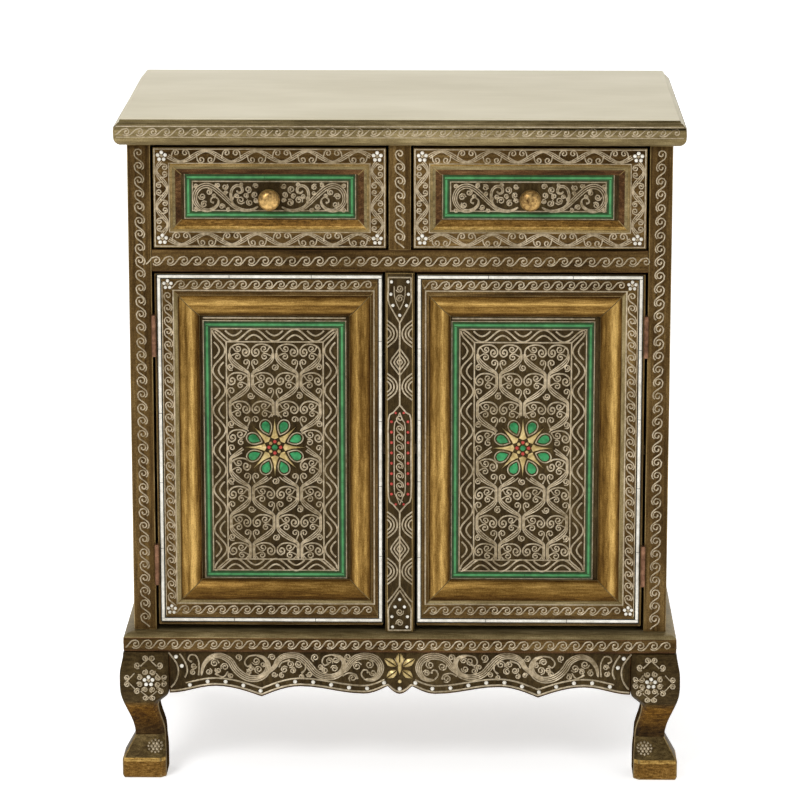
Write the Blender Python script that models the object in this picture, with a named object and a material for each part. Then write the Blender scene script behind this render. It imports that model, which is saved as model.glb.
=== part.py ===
"""Carved and painted cabinet: two drawers over two panelled doors, on four cabriole legs.

Metres, +Z up, front towards -Y. The origin is on the floor, in the middle of the whole object's box.
"""

import math

import bmesh
import bpy
from mathutils import Vector

# Whole object
TOP_WIDTH = 0.618
TOP_DEPTH = 0.380
OVERALL_HEIGHT = 0.745
GAP = 0.0003  # between pieces that rest against each other

# Top board
TOP_THICKNESS = 0.030
TOP_OVERHANG = 0.0135  # past the body, on all four sides
TOP_STEP = 0.0018  # upright step under the top face
TOP_COVE_WIDTH = 0.0085
TOP_COVE_HEIGHT = 0.0062
TOP_LEDGE = 0.0012  # flat between the cove and the painted edge
TOP_NOSE_RADIUS = 0.0095  # quarter round along the underside

# Base board, which is also the cupboard's floor
BASE_TOP = 0.1685  # above the floor
BASE_THICKNESS = 0.022
BASE_OVERHANG = 0.0115
BASE_EDGE_SLOPE = 0.0056  # fall from the body to the painted edge
BASE_FOOT_STEP = 0.0015  # chamfer along the underside

# Face frame and rear posts
POST_WIDTH = 0.025
POST_DEPTH = 0.025
DRAWER_ROW_HEIGHT = 0.116  # clear height between the mid rail and the top board
MID_RAIL_HEIGHT = 0.024
MID_RAIL_DEPTH = 0.025
DRAWER_POST_WIDTH = 0.024
DRAWER_POST_DEPTH = 0.025
CENTRE_STILE_WIDTH = 0.032
CENTRE_STILE_PROUD = 0.004  # in front of the doors
CENTRE_STILE_EDGE = 0.002  # chamfer along its front edges

# Panels and shelf
SIDE_THICKNESS = 0.012
SIDE_RECESS = 0.003
BACK_THICKNESS = 0.008
BACK_RECESS = 0.003
SHELF_TOP = 0.377
SHELF_THICKNESS = 0.012
SHELF_HOUSING = 0.004  # depth of the groove in each side panel

# Doors
DOOR_THICKNESS = 0.020
DOOR_TOP_GAP = 0.0025
DOOR_BOTTOM_GAP = 0.007
DOOR_MEETING_GAP = 0.0028
BAND_HINGE = 0.025  # flat painted band on the hinge side
BAND_MEETING = 0.0132
BAND_TOP = 0.024
BAND_BOTTOM = 0.028
MOULDING_WIDTH = 0.0235
MOULDING_QUIRK = 0.0016  # sunk line where the moulding starts
MOULDING_FALL = 0.0040  # moulding's inner edge below the band
MOULDING_CROWN = 0.0042  # rise over the straight line between its edges
PANEL_DEPTH = 0.0065  # panel's face below the band
PANEL_THICKNESS = 0.008
PANEL_GROOVE = 0.006
PANEL_PLAY = 0.0006
MITRE_HALF_GAP = 0.0002

# Butt hinges
HINGE_HEIGHT = 0.046
HINGE_FROM_END = 0.069  # hinge's middle from the door's top or bottom
LEAF_THICKNESS = 0.0009
LEAF_WIDTH = 0.014
KNUCKLE_RADIUS = 0.0025
MIDDLE_KNUCKLE = 0.018
PIN_RADIUS = 0.0012
HINGE_PLAY = 0.0003

# Magnetic catch
CATCH_FROM_DOOR_TOP = 0.1025  # catch's middle below the door's top
CATCH_HEIGHT = 0.016
CATCH_DEPTH = 0.012
STRIKE_WIDTH = 0.018
STRIKE_HEIGHT = 0.014
STRIKE_THICKNESS = 0.0012
STRIKE_FROM_EDGE = 0.003

# Drawers
DRAWER_GAP = 0.003
DRAWER_TOP_GAP = 0.0035
DRAWER_BOTTOM_GAP = 0.0025
DRAWER_REAR_ROOM = 0.027  # between the drawer and the back panel
FRONT_THICKNESS = 0.020
FRONT_BORDER = 0.018  # flat painted border
FRONT_BEAD_WIDTH = 0.0035
FRONT_BEAD_RISE = 0.0012
FRONT_SLOPE_WIDTH = 0.0085
FRONT_RECESS = 0.005
SIDE_INSET = 0.0015  # drawer side inside the front's end
DRAWER_SIDE_THICKNESS = 0.010
DRAWER_SIDE_DROP = 0.010  # below the front's top edge
DRAWER_BACK_THICKNESS = 0.010
BOTTOM_THICKNESS = 0.005
BOTTOM_RAISE = 0.008  # bottom panel above the side's lower edge
BOTTOM_GROOVE = 0.004

# Drawer runners
RUNNER_THICKNESS = 0.012
RUNNER_GUIDE_HEIGHT = 0.012
RUNNER_PLAY = 0.0006

# Knobs
KNOB_PROJECTION = 0.026
KNOB_RADIUS = 0.012
KNOB_NECK_RADIUS = 0.0065
KNOB_FOOT_RADIUS = 0.0085
KNOB_FOOT_HEIGHT = 0.003
KNOB_HEAD_HEIGHT = 0.015
KNOB_BORE_DEPTH = 0.012
KNOB_TIP_RADIUS = 0.0012  # flat at the front of the head
SCREW_RADIUS = 0.002
SCREW_HEAD_RADIUS = 0.0045
SCREW_HEAD_HEIGHT = 0.0025
SCREW_END_CLEARANCE = 0.001

# Aprons
APRON_THICKNESS = 0.018
APRON_SETBACK = 0.005  # behind the base board's edge
APRON_SHALLOW = 0.0410  # where the scallops rise, below the base board
APRON_LOBE = 0.0492  # where the rounded lobes hang
APRON_POINT = 0.0530  # where the pointed tips hang
APRON_CUSP = 0.0403  # cusp beside the middle drop
REAR_APRON_DROP = 0.036

# Legs, measured outwards and inwards from the body's corner
FOOT_HEIGHT = 0.022
FOOT_REACH = 0.0142
FOOT_INNER = 0.0345
TOE_HEIGHT = 0.004
TOE_CHAMFER = 0.0017
ANKLE_HEIGHT = 0.047
ANKLE_REACH = 0.0003
ANKLE_INNER = 0.0330
CALF_INNER = 0.0260
CALF_BELOW_BASE = 0.0625
BRACKET_BELOW_BASE = 0.0465
KNEE_REACH = 0.016
KNEE_INNER = 0.0385
KNEE_LOWER = 0.0385  # the knee's fullest stretch, below the base board
KNEE_UPPER = 0.0265
LEG_TOP_REACH = 0.012
LEG_CHAMFER = 0.006  # along the inner edges of the two outer faces

# Smoothness of the round stretches
ROUND_SIDES = 24
HINGE_SIDES = 16
ARC_STEPS = 5
MOULDING_STEPS = 8
SCALLOP_STEPS = 6
LEG_STEPS = 5

# Places worked out from the sizes
HALF_WIDTH = TOP_WIDTH / 2 - TOP_OVERHANG
BODY_DEPTH = TOP_DEPTH - 2 * TOP_OVERHANG
KNOB_REACH = KNOB_PROJECTION - FRONT_RECESS
FRONT_REACH = max(KNOB_REACH, TOP_OVERHANG, KNEE_REACH)
BACK_REACH = max(TOP_OVERHANG, KNEE_REACH)
FACE_Y = (FRONT_REACH - BODY_DEPTH - BACK_REACH) / 2
REAR_Y = FACE_Y + BODY_DEPTH
TOP_UNDERSIDE = OVERALL_HEIGHT - TOP_THICKNESS
BASE_UNDERSIDE = BASE_TOP - BASE_THICKNESS
POST_INNER_X = HALF_WIDTH - POST_WIDTH
SIDE_INNER_X = HALF_WIDTH - SIDE_RECESS - SIDE_THICKNESS
BACK_FRONT_Y = REAR_Y - BACK_RECESS - BACK_THICKNESS
MID_RAIL_TOP = TOP_UNDERSIDE - DRAWER_ROW_HEIGHT
MID_RAIL_BOTTOM = MID_RAIL_TOP - MID_RAIL_HEIGHT
STILE_HALF = CENTRE_STILE_WIDTH / 2

HINGE_HALF_GAP = HINGE_PLAY + LEAF_THICKNESS + GAP
DOOR_HINGE_X = POST_INNER_X - 2 * HINGE_HALF_GAP
DOOR_MEETING_X = STILE_HALF + DOOR_MEETING_GAP
DOOR_TOP = MID_RAIL_BOTTOM - DOOR_TOP_GAP
DOOR_BOTTOM = BASE_TOP + DOOR_BOTTOM_GAP
DOOR_BACK_Y = FACE_Y + DOOR_THICKNESS
CATCH_MIDDLE = DOOR_TOP - CATCH_FROM_DOOR_TOP
HINGE_X = POST_INNER_X - HINGE_HALF_GAP
HINGE_PROUD = math.sqrt(max(KNUCKLE_RADIUS**2 - (HINGE_HALF_GAP - GAP) ** 2, 0.0))
HINGE_Y = FACE_Y - HINGE_PROUD

DRAWER_OUTER_X = POST_INNER_X - DRAWER_GAP
DRAWER_INNER_X = DRAWER_POST_WIDTH / 2 + DRAWER_GAP
DRAWER_TOP = TOP_UNDERSIDE - DRAWER_TOP_GAP
DRAWER_BOTTOM = MID_RAIL_TOP + DRAWER_BOTTOM_GAP
DRAWER_MIDDLE_X = (DRAWER_OUTER_X + DRAWER_INNER_X) / 2
DRAWER_MIDDLE_Z = (DRAWER_TOP + DRAWER_BOTTOM) / 2
SIDE_BOTTOM = MID_RAIL_TOP + GAP
SIDE_TOP = DRAWER_TOP - DRAWER_SIDE_DROP
BOX_FRONT_Y = FACE_Y + FRONT_THICKNESS + GAP
BOX_REAR_Y = BACK_FRONT_Y - DRAWER_REAR_ROOM
SCREW_BORE = SCREW_RADIUS + GAP


def clear_scene():
    for item in list(bpy.data.objects):
        bpy.data.objects.remove(item)


def finish(name, colour, roughness, metallic):
    """One Principled material with the part's own colour."""
    material = bpy.data.materials.new(name)
    material.use_nodes = True
    shader = material.node_tree.nodes["Principled BSDF"]
    shader.inputs["Base Color"].default_value = (*colour, 1.0)
    shader.inputs["Roughness"].default_value = roughness
    shader.inputs["Metallic"].default_value = metallic
    return material


def body(name, place=(0.0, 0.0, 0.0)):
    """An empty that carries the pieces which move together, on their joint's axis."""
    empty = bpy.data.objects.new(name, None)
    empty.location = place
    bpy.context.scene.collection.objects.link(empty)
    return empty


def loft(loops, caps=None):
    """Closed shape through a row of outlines. caps gives each end's faces as point numbers."""
    shape = bmesh.new()
    rows = [[shape.verts.new(point) for point in loop] for loop in loops]
    count = len(rows[0])
    for near, far in zip(rows, rows[1:]):
        for i in range(count):
            j = (i + 1) % count
            shape.faces.new((near[i], near[j], far[j], far[i]))
    for row in (rows[0], rows[-1]):
        for cap in caps or [range(count)]:
            shape.faces.new([row[i] for i in cap])
    bmesh.ops.recalc_face_normals(shape, faces=shape.faces)
    return shape


def prism(outline, travel):
    """An outline pushed along a vector."""
    start = [Vector(point) for point in outline]
    return loft([start, [point + Vector(travel) for point in start]])


def block(low, high):
    """A square-edged bar or board between two corners."""
    (x0, y0, z0), (x1, y1, z1) = low, high
    return prism([(x0, y0, z0), (x1, y0, z0), (x1, y1, z0), (x0, y1, z0)], (0, 0, z1 - z0))


def turned(profile, place, sides):
    """A round piece along Y through (radius, distance towards the front) stations."""
    angles = [2 * math.pi * i / sides for i in range(sides)]
    ring = [Vector((math.cos(a), 0, math.sin(a))) for a in angles]
    return loft([[Vector(place) + spoke * r - Vector((0, d, 0)) for spoke in ring] for r, d in profile])


def rod(radius, low, high):
    """An upright round bar on the Z axis."""
    angles = [2 * math.pi * i / HINGE_SIDES for i in range(HINGE_SIDES)]
    return prism([(radius * math.cos(a), radius * math.sin(a), low) for a in angles], (0, 0, high - low))


def add_piece(name, shape, material, carrier):
    """Turns a shape in the object's frame into a named piece with its origin in its own middle."""
    corners = [vertex.co for vertex in shape.verts]
    low = Vector([min(axis) for axis in zip(*corners)])
    high = Vector([max(axis) for axis in zip(*corners)])
    middle = (low + high) / 2
    bmesh.ops.translate(shape, verts=shape.verts, vec=-middle)
    mesh = bpy.data.meshes.new(name)
    shape.to_mesh(mesh)
    shape.free()
    mesh.materials.append(material)
    return place_mesh(name, mesh, middle, carrier)


def place_mesh(name, mesh, place, carrier):
    piece = bpy.data.objects.new(name, mesh)
    piece.parent = carrier
    piece.location = Vector(place) - carrier.location
    bpy.context.scene.collection.objects.link(piece)
    return piece


def combined(shapes, operations):
    """One shape from several: each later one is joined to the first or cut out of it."""
    helpers = []
    for shape in shapes:
        mesh = bpy.data.meshes.new("helper")
        shape.to_mesh(mesh)
        shape.free()
        helper = bpy.data.objects.new("helper", mesh)
        bpy.context.scene.collection.objects.link(helper)
        helpers.append(helper)
    for helper, operation in zip(helpers[1:], operations):
        modifier = helpers[0].modifiers.new(operation, "BOOLEAN")
        modifier.operation = operation
        modifier.object = helper
    bpy.context.view_layer.update()
    evaluated = helpers[0].evaluated_get(bpy.context.evaluated_depsgraph_get())
    result = bmesh.new()
    result.from_mesh(evaluated.to_mesh())
    evaluated.to_mesh_clear()
    for helper in helpers:
        bpy.data.meshes.remove(helper.data)
    return result


def board_ring(overhang, inset, height):
    """Rectangle round the body at a height: its overhang past the body, less an inset."""
    x = HALF_WIDTH + overhang - inset
    y0 = FACE_Y - overhang + inset
    y1 = REAR_Y + overhang - inset
    return [(-x, y0, height), (x, y0, height), (x, y1, height), (-x, y1, height)]


def build_top_board(material, carcass):
    steps = [i / ARC_STEPS for i in range(ARC_STEPS + 1)]
    edge = []
    for share in steps:  # quarter round, from the underside outwards
        angle = share * math.pi / 2
        inset = TOP_NOSE_RADIUS * (1 - math.sin(angle))
        edge.append((inset, TOP_UNDERSIDE + TOP_NOSE_RADIUS * (1 - math.cos(angle))))
    cove_top = OVERALL_HEIGHT - TOP_STEP
    for share in steps:  # cove, from the painted edge up to the step
        angle = share * math.pi / 2
        inset = TOP_LEDGE + TOP_COVE_WIDTH * math.sin(angle)
        edge.append((inset, cove_top - TOP_COVE_HEIGHT * math.cos(angle)))
    ledge_height = cove_top - TOP_COVE_HEIGHT
    edge.insert(ARC_STEPS + 1, (0.0, ledge_height))
    edge.append((TOP_LEDGE + TOP_COVE_WIDTH, OVERALL_HEIGHT))
    loops = [board_ring(TOP_OVERHANG, inset, height) for inset, height in edge]
    add_piece("top_board", loft(loops), material, carcass)


def build_base_board(material, carcass):
    edge = [
        (BASE_FOOT_STEP, BASE_UNDERSIDE),
        (0.0, BASE_UNDERSIDE + BASE_FOOT_STEP),
        (0.0, BASE_TOP - BASE_EDGE_SLOPE),
        (BASE_OVERHANG / 3, BASE_TOP - BASE_EDGE_SLOPE / 3),
        (BASE_OVERHANG, BASE_TOP),
    ]
    loops = [board_ring(BASE_OVERHANG, inset, height) for inset, height in edge]
    add_piece("base_board", loft(loops), material, carcass)


def build_posts(material, carcass):
    for side_name, side in (("left", -1), ("right", 1)):
        xs = sorted((side * POST_INNER_X, side * HALF_WIDTH))
        for end_name, front in (("front", FACE_Y), ("rear", REAR_Y - POST_DEPTH)):
            low = (xs[0], front, BASE_TOP + GAP)
            high = (xs[1], front + POST_DEPTH, TOP_UNDERSIDE - GAP)
            add_piece(f"{end_name}_{side_name}_post", block(low, high), material, carcass)


def build_face_frame(material, carcass):
    low = (-POST_INNER_X + GAP, FACE_Y, MID_RAIL_BOTTOM)
    high = (POST_INNER_X - GAP, FACE_Y + MID_RAIL_DEPTH, MID_RAIL_TOP)
    add_piece("mid_rail", block(low, high), material, carcass)
    half = DRAWER_POST_WIDTH / 2
    low = (-half, FACE_Y, MID_RAIL_TOP + GAP)
    high = (half, FACE_Y + DRAWER_POST_DEPTH, TOP_UNDERSIDE - GAP)
    add_piece("drawer_post", block(low, high), material, carcass)
    front = FACE_Y - CENTRE_STILE_PROUD
    bottom = BASE_TOP + GAP
    outline = [
        (-STILE_HALF + CENTRE_STILE_EDGE, front, bottom),
        (STILE_HALF - CENTRE_STILE_EDGE, front, bottom),
        (STILE_HALF, front + CENTRE_STILE_EDGE, bottom),
        (STILE_HALF, DOOR_BACK_Y, bottom),
        (-STILE_HALF, DOOR_BACK_Y, bottom),
        (-STILE_HALF, front + CENTRE_STILE_EDGE, bottom),
    ]
    height = MID_RAIL_BOTTOM - GAP - bottom
    add_piece("centre_stile", prism(outline, (0, 0, height)), material, carcass)


def build_panels(side_material, inner_material, carcass):
    front = FACE_Y + POST_DEPTH + GAP
    rear = REAR_Y - POST_DEPTH - GAP
    low_z = BASE_TOP + GAP
    high_z = TOP_UNDERSIDE - GAP
    groove_low = SHELF_TOP - SHELF_THICKNESS - GAP
    groove_high = SHELF_TOP + GAP
    outer = SIDE_INNER_X + SIDE_THICKNESS
    section = [
        (outer, low_z),
        (outer, high_z),
        (SIDE_INNER_X, high_z),
        (SIDE_INNER_X, groove_high),
        (SIDE_INNER_X + SHELF_HOUSING, groove_high),
        (SIDE_INNER_X + SHELF_HOUSING, groove_low),
        (SIDE_INNER_X, groove_low),
        (SIDE_INNER_X, low_z),
    ]
    for side_name, side in (("left", -1), ("right", 1)):
        outline = [(side * x, front, z) for x, z in section]
        panel = prism(outline, (0, rear - front, 0))
        add_piece(f"{side_name}_side_panel", panel, side_material, carcass)
    low = (-POST_INNER_X + GAP, BACK_FRONT_Y, low_z)
    high = (POST_INNER_X - GAP, BACK_FRONT_Y + BACK_THICKNESS, high_z)
    add_piece("back_panel", block(low, high), side_material, carcass)
    wide = SIDE_INNER_X + SHELF_HOUSING - GAP
    narrow = POST_INNER_X - GAP
    shelf_rear = BACK_FRONT_Y - GAP
    corners = [(wide, front), (wide, rear), (narrow, rear), (narrow, shelf_rear)]
    mirrored = [(-x, y) for x, y in reversed(corners)]
    outline = [(x, y, SHELF_TOP - SHELF_THICKNESS) for x, y in corners + mirrored]
    add_piece("shelf", prism(outline, (0, 0, SHELF_THICKNESS)), inner_material, carcass)


def build_runners(material, carcass):
    front = FACE_Y + MID_RAIL_DEPTH + GAP
    base = MID_RAIL_TOP - RUNNER_THICKNESS
    guide_top = MID_RAIL_TOP + RUNNER_GUIDE_HEIGHT
    outer_face = DRAWER_OUTER_X - SIDE_INSET
    inner_face = DRAWER_INNER_X + SIDE_INSET
    outer_section = [
        (SIDE_INNER_X - GAP, base),
        (SIDE_INNER_X - GAP, guide_top),
        (outer_face + RUNNER_PLAY, guide_top),
        (outer_face + RUNNER_PLAY, MID_RAIL_TOP),
        (outer_face - DRAWER_SIDE_THICKNESS, MID_RAIL_TOP),
        (outer_face - DRAWER_SIDE_THICKNESS, base),
    ]
    length = REAR_Y - POST_DEPTH - GAP - front
    for side_name, side in (("left", -1), ("right", 1)):
        outline = [(side * x, front, z) for x, z in outer_section]
        add_piece(f"{side_name}_runner", prism(outline, (0, length, 0)), material, carcass)
    half_section = [
        (inner_face + DRAWER_SIDE_THICKNESS, base),
        (inner_face + DRAWER_SIDE_THICKNESS, MID_RAIL_TOP),
        (inner_face - RUNNER_PLAY, MID_RAIL_TOP),
        (inner_face - RUNNER_PLAY, guide_top),
    ]
    section = half_section + [(-x, z) for x, z in reversed(half_section)]
    outline = [(x, front, z) for x, z in section]
    length = BACK_FRONT_Y - GAP - front
    add_piece("centre_runner", prism(outline, (0, length, 0)), material, carcass)


def scallop(stations):
    """Half of a scalloped edge as (share of the half length, drop), from the middle outwards.

    A station is (share, drop, rounded): the edge runs level through a rounded one and turns
    sharply at any other.
    """
    edge = []
    for (start, drop, round_start), (end, next_drop, round_end) in zip(stations, stations[1:]):
        for step in range(SCALLOP_STEPS):
            share = step / SCALLOP_STEPS
            if round_start and round_end:
                fall = (1 - math.cos(math.pi * share)) / 2
            elif round_end:
                fall = math.sin(math.pi / 2 * share)
            else:
                fall = 1 - math.cos(math.pi / 2 * share)
            edge.append((start + (end - start) * share, drop + (next_drop - drop) * fall))
    edge.append((stations[-1][0], stations[-1][1]))
    return edge


def apron_outline(stations, half_length):
    """A whole scalloped board as (place along it, height) points."""
    half = [(share * half_length, BASE_UNDERSIDE - drop) for share, drop in scallop(stations)]
    edge = [(-x, z) for x, z in reversed(half[1:])] + half
    top = BASE_UNDERSIDE - GAP
    return [(-half_length, top)] + edge + [(half_length, top)]


def build_aprons(material, carcass):
    front_stations = [
        (0.0, APRON_LOBE, False),
        (0.053, APRON_CUSP, False),
        (0.156, APRON_LOBE, True),
        (0.430, APRON_SHALLOW, True),
        (0.600, APRON_POINT, False),
        (0.800, APRON_SHALLOW, True),
        (1.0, APRON_LOBE, True),
    ]
    side_stations = [
        (0.0, APRON_POINT, False),
        (0.450, APRON_SHALLOW, True),
        (1.0, APRON_LOBE, True),
    ]
    front = FACE_Y - BASE_OVERHANG + APRON_SETBACK
    half_length = HALF_WIDTH - KNEE_INNER - GAP
    outline = [(x, front, z) for x, z in apron_outline(front_stations, half_length)]
    add_piece("front_apron", prism(outline, (0, APRON_THICKNESS, 0)), material, carcass)
    rear = REAR_Y + BASE_OVERHANG - APRON_SETBACK
    low = (-half_length, rear - APRON_THICKNESS, BASE_UNDERSIDE - REAR_APRON_DROP)
    high = (half_length, rear, BASE_UNDERSIDE - GAP)
    add_piece("rear_apron", block(low, high), material, carcass)
    outer = HALF_WIDTH + BASE_OVERHANG - APRON_SETBACK
    half_depth = BODY_DEPTH / 2 - KNEE_INNER - GAP
    middle = (FACE_Y + REAR_Y) / 2
    for side_name, side in (("left", -1), ("right", 1)):
        profile = apron_outline(side_stations, half_depth)
        outline = [(side * outer, middle + y, z) for y, z in profile]
        apron = prism(outline, (-side * APRON_THICKNESS, 0, 0))
        add_piece(f"{side_name}_apron", apron, material, carcass)


def eased(points, height):
    """Value of a smooth curve through (height, value) points that runs level at each of them."""
    for (low, start), (high, end) in zip(points, points[1:]):
        if height <= high:
            share = (height - low) / (high - low)
            return start + (end - start) * (1 - math.cos(math.pi * share)) / 2
    return points[-1][1]


def spread(low, high):
    return [low + (high - low) * step / LEG_STEPS for step in range(LEG_STEPS + 1)]


def leg_reach(height):
    """How far the leg's outer faces stand out from the body."""
    if height < TOE_HEIGHT:
        return FOOT_REACH - TOE_CHAMFER * (1 - height / TOE_HEIGHT)
    if height < FOOT_HEIGHT:
        return FOOT_REACH
    if height < ANKLE_HEIGHT:
        share = (height - FOOT_HEIGHT) / (ANKLE_HEIGHT - FOOT_HEIGHT)
        return ANKLE_REACH + (FOOT_REACH - ANKLE_REACH) * math.cos(math.pi / 2 * share)
    knee = [
        (ANKLE_HEIGHT, ANKLE_REACH),
        (BASE_UNDERSIDE - KNEE_LOWER, KNEE_REACH),
        (BASE_UNDERSIDE - KNEE_UPPER, KNEE_REACH),
        (BASE_UNDERSIDE, LEG_TOP_REACH),
    ]
    return eased(knee, height)


def leg_inner(height):
    """How far the leg's inner faces stand inside the body's corner."""
    inside = [
        (0.0, FOOT_INNER),
        (FOOT_HEIGHT, FOOT_INNER),
        (ANKLE_HEIGHT, ANKLE_INNER),
        (BASE_UNDERSIDE - CALF_BELOW_BASE, CALF_INNER),
        (BASE_UNDERSIDE - BRACKET_BELOW_BASE, KNEE_INNER),
        (BASE_UNDERSIDE, KNEE_INNER),
    ]
    return eased(inside, height)


def build_legs(material, carcass):
    calf = BASE_UNDERSIDE - CALF_BELOW_BASE
    bracket = BASE_UNDERSIDE - BRACKET_BELOW_BASE
    knee = BASE_UNDERSIDE - KNEE_LOWER
    upper_knee = BASE_UNDERSIDE - KNEE_UPPER
    levels = [0.0, TOE_HEIGHT]
    levels += spread(FOOT_HEIGHT, ANKLE_HEIGHT)
    levels += spread(ANKLE_HEIGHT, calf)[1:]
    levels += spread(calf, bracket)[1:]
    levels += [knee]
    levels += spread(upper_knee, BASE_UNDERSIDE - GAP)
    for end_name, end, end_y in (("front", -1, FACE_Y), ("rear", 1, REAR_Y)):
        for side_name, side in (("left", -1), ("right", 1)):
            loops = []
            for height in levels:
                out = leg_reach(height)
                inside = -leg_inner(height)
                section = [
                    (out, out),
                    (inside + LEG_CHAMFER, out),
                    (inside, out - LEG_CHAMFER),
                    (inside, inside),
                    (out - LEG_CHAMFER, inside),
                    (out, inside + LEG_CHAMFER),
                ]
                x_side = side * HALF_WIDTH
                loops.append([(x_side + side * u, end_y + end * v, height) for u, v in section])
            add_piece(f"{end_name}_{side_name}_leg", loft(loops), material, carcass)


def door_stations():
    """The door frame's section as (share of the band, distance into the moulding, depth)."""
    stations = [(0.0, 0.0, 0.0), (1.0, 0.0, 0.0), (1.0, 0.0, MOULDING_QUIRK)]
    for step in range(1, MOULDING_STEPS + 1):
        share = step / MOULDING_STEPS
        straight = MOULDING_QUIRK + (MOULDING_FALL - MOULDING_QUIRK) * share
        bulge = MOULDING_CROWN * 4 * share * (1 - share)
        stations.append((1.0, MOULDING_WIDTH * share, straight - bulge))
    groove_front = PANEL_DEPTH - GAP
    groove_back = PANEL_DEPTH + PANEL_THICKNESS + GAP
    for inward, depth in (
        (0.0, groove_front),
        (PANEL_GROOVE, groove_front),
        (PANEL_GROOVE, groove_back),
        (0.0, groove_back),
        (0.0, DOOR_THICKNESS),
    ):
        stations.append((1.0, MOULDING_WIDTH - inward, depth))
    return stations + [(1.0, 0.0, DOOR_THICKNESS), (0.0, 0.0, DOOR_THICKNESS)]


def door_corners(side, share, inward):
    """Hinge-side x, meeting-side x, bottom z and top z of the door's outline, drawn in."""
    hinge = side * (DOOR_HINGE_X - share * BAND_HINGE - inward)
    meeting = side * (DOOR_MEETING_X + share * BAND_MEETING + inward)
    bottom = DOOR_BOTTOM + share * BAND_BOTTOM + inward
    top = DOOR_TOP - share * BAND_TOP - inward
    return hinge, meeting, bottom, top


def build_door(side_name, side, frame_material, panel_material, steel, carrier):
    hinge_stile = [[], []]
    meeting_stile = [[], []]
    top_rail = [[], []]
    bottom_rail = [[], []]
    clear = MITRE_HALF_GAP
    for share, inward, depth in door_stations():
        hinge, meeting, bottom, top = door_corners(side, share, inward)
        y = FACE_Y + depth
        for stile, x in ((hinge_stile, hinge), (meeting_stile, meeting)):
            stile[0].append((x, y, bottom + clear))
            stile[1].append((x, y, top - clear))
        for rail, z in ((bottom_rail, bottom), (top_rail, top)):
            rail[0].append((hinge - side * clear, y, z))
            rail[1].append((meeting + side * clear, y, z))
    count = len(hinge_stile[0])
    caps = [[0, 1, 2, count - 2, count - 1], list(range(2, count - 1))]
    members = {
        "hinge_stile": hinge_stile,
        "meeting_stile": meeting_stile,
        "top_rail": top_rail,
        "bottom_rail": bottom_rail,
    }
    for member, ends in members.items():
        add_piece(f"{side_name}_door_{member}", loft(ends, caps), frame_material, carrier)
    edge = MOULDING_WIDTH - PANEL_GROOVE + PANEL_PLAY
    hinge, meeting, bottom, top = door_corners(side, 1.0, edge)
    xs = sorted((hinge, meeting))
    face = FACE_Y + PANEL_DEPTH
    panel = block((xs[0], face, bottom), (xs[1], face + PANEL_THICKNESS, top))
    add_piece(f"{side_name}_door_panel", panel, panel_material, carrier)
    near = DOOR_MEETING_X + STRIKE_FROM_EDGE
    xs = sorted((side * near, side * (near + STRIKE_WIDTH)))
    low = (xs[0], DOOR_BACK_Y + GAP, CATCH_MIDDLE - STRIKE_HEIGHT / 2)
    high = (xs[1], DOOR_BACK_Y + GAP + STRIKE_THICKNESS, CATCH_MIDDLE + STRIKE_HEIGHT / 2)
    add_piece(f"{side_name}_door_strike", block(low, high), steel, carrier)


def hinge_leaf(side, notches):
    """A leaf beside the pin's axis: side is the way it lies, notches where it keeps clear of a knuckle."""
    half = HINGE_HEIGHT / 2
    clear = KNUCKLE_RADIUS + HINGE_PLAY
    near = side * HINGE_PLAY
    outline = [(near, HINGE_PROUD + LEAF_WIDTH, -half), (near, HINGE_PROUD + LEAF_WIDTH, half)]
    for low, high, notched in reversed(notches):
        y = clear if notched else 0.0
        outline += [(near, y, high), (near, y, low)]
    return prism(outline, (side * LEAF_THICKNESS, 0, 0))


def hinge_shapes(side):
    """The frame leaf with its pin, and the door leaf, for a hinge on the given side."""
    half = HINGE_HEIGHT / 2
    middle = MIDDLE_KNUCKLE / 2
    split = middle + HINGE_PLAY
    frame_notches = [(-half, -split, False), (-split, split, True), (split, half, False)]
    door_notches = [(-half, -middle, True), (-middle, middle, False), (middle, half, True)]
    frame_shapes = [
        hinge_leaf(side, frame_notches),
        rod(KNUCKLE_RADIUS, -half, -split),
        rod(KNUCKLE_RADIUS, split, half),
        rod(PIN_RADIUS, -half + PIN_RADIUS, half - PIN_RADIUS),
    ]
    door_shapes = [
        hinge_leaf(-side, door_notches),
        rod(KNUCKLE_RADIUS, -middle, middle),
        rod(PIN_RADIUS + HINGE_PLAY, -half, half),
    ]
    frame_leaf = combined(frame_shapes, ["UNION", "UNION", "UNION"])
    door_leaf = combined(door_shapes, ["UNION", "DIFFERENCE"])
    return frame_leaf, door_leaf


def build_hinges(side_name, side, copper, carcass, carrier):
    meshes = []
    for leaf_name, shape in zip(("frame_leaf", "door_leaf"), hinge_shapes(side)):
        mesh = bpy.data.meshes.new(f"{side_name}_{leaf_name}")
        shape.to_mesh(mesh)
        shape.free()
        mesh.materials.append(copper)
        meshes.append(mesh)
    for place_name, z in (("upper", DOOR_TOP - HINGE_FROM_END), ("lower", DOOR_BOTTOM + HINGE_FROM_END)):
        place = (side * HINGE_X, HINGE_Y, z)
        place_mesh(f"{side_name}_{place_name}_hinge_frame_leaf", meshes[0], place, carcass)
        place_mesh(f"{side_name}_{place_name}_hinge_door_leaf", meshes[1], place, carrier)


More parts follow.
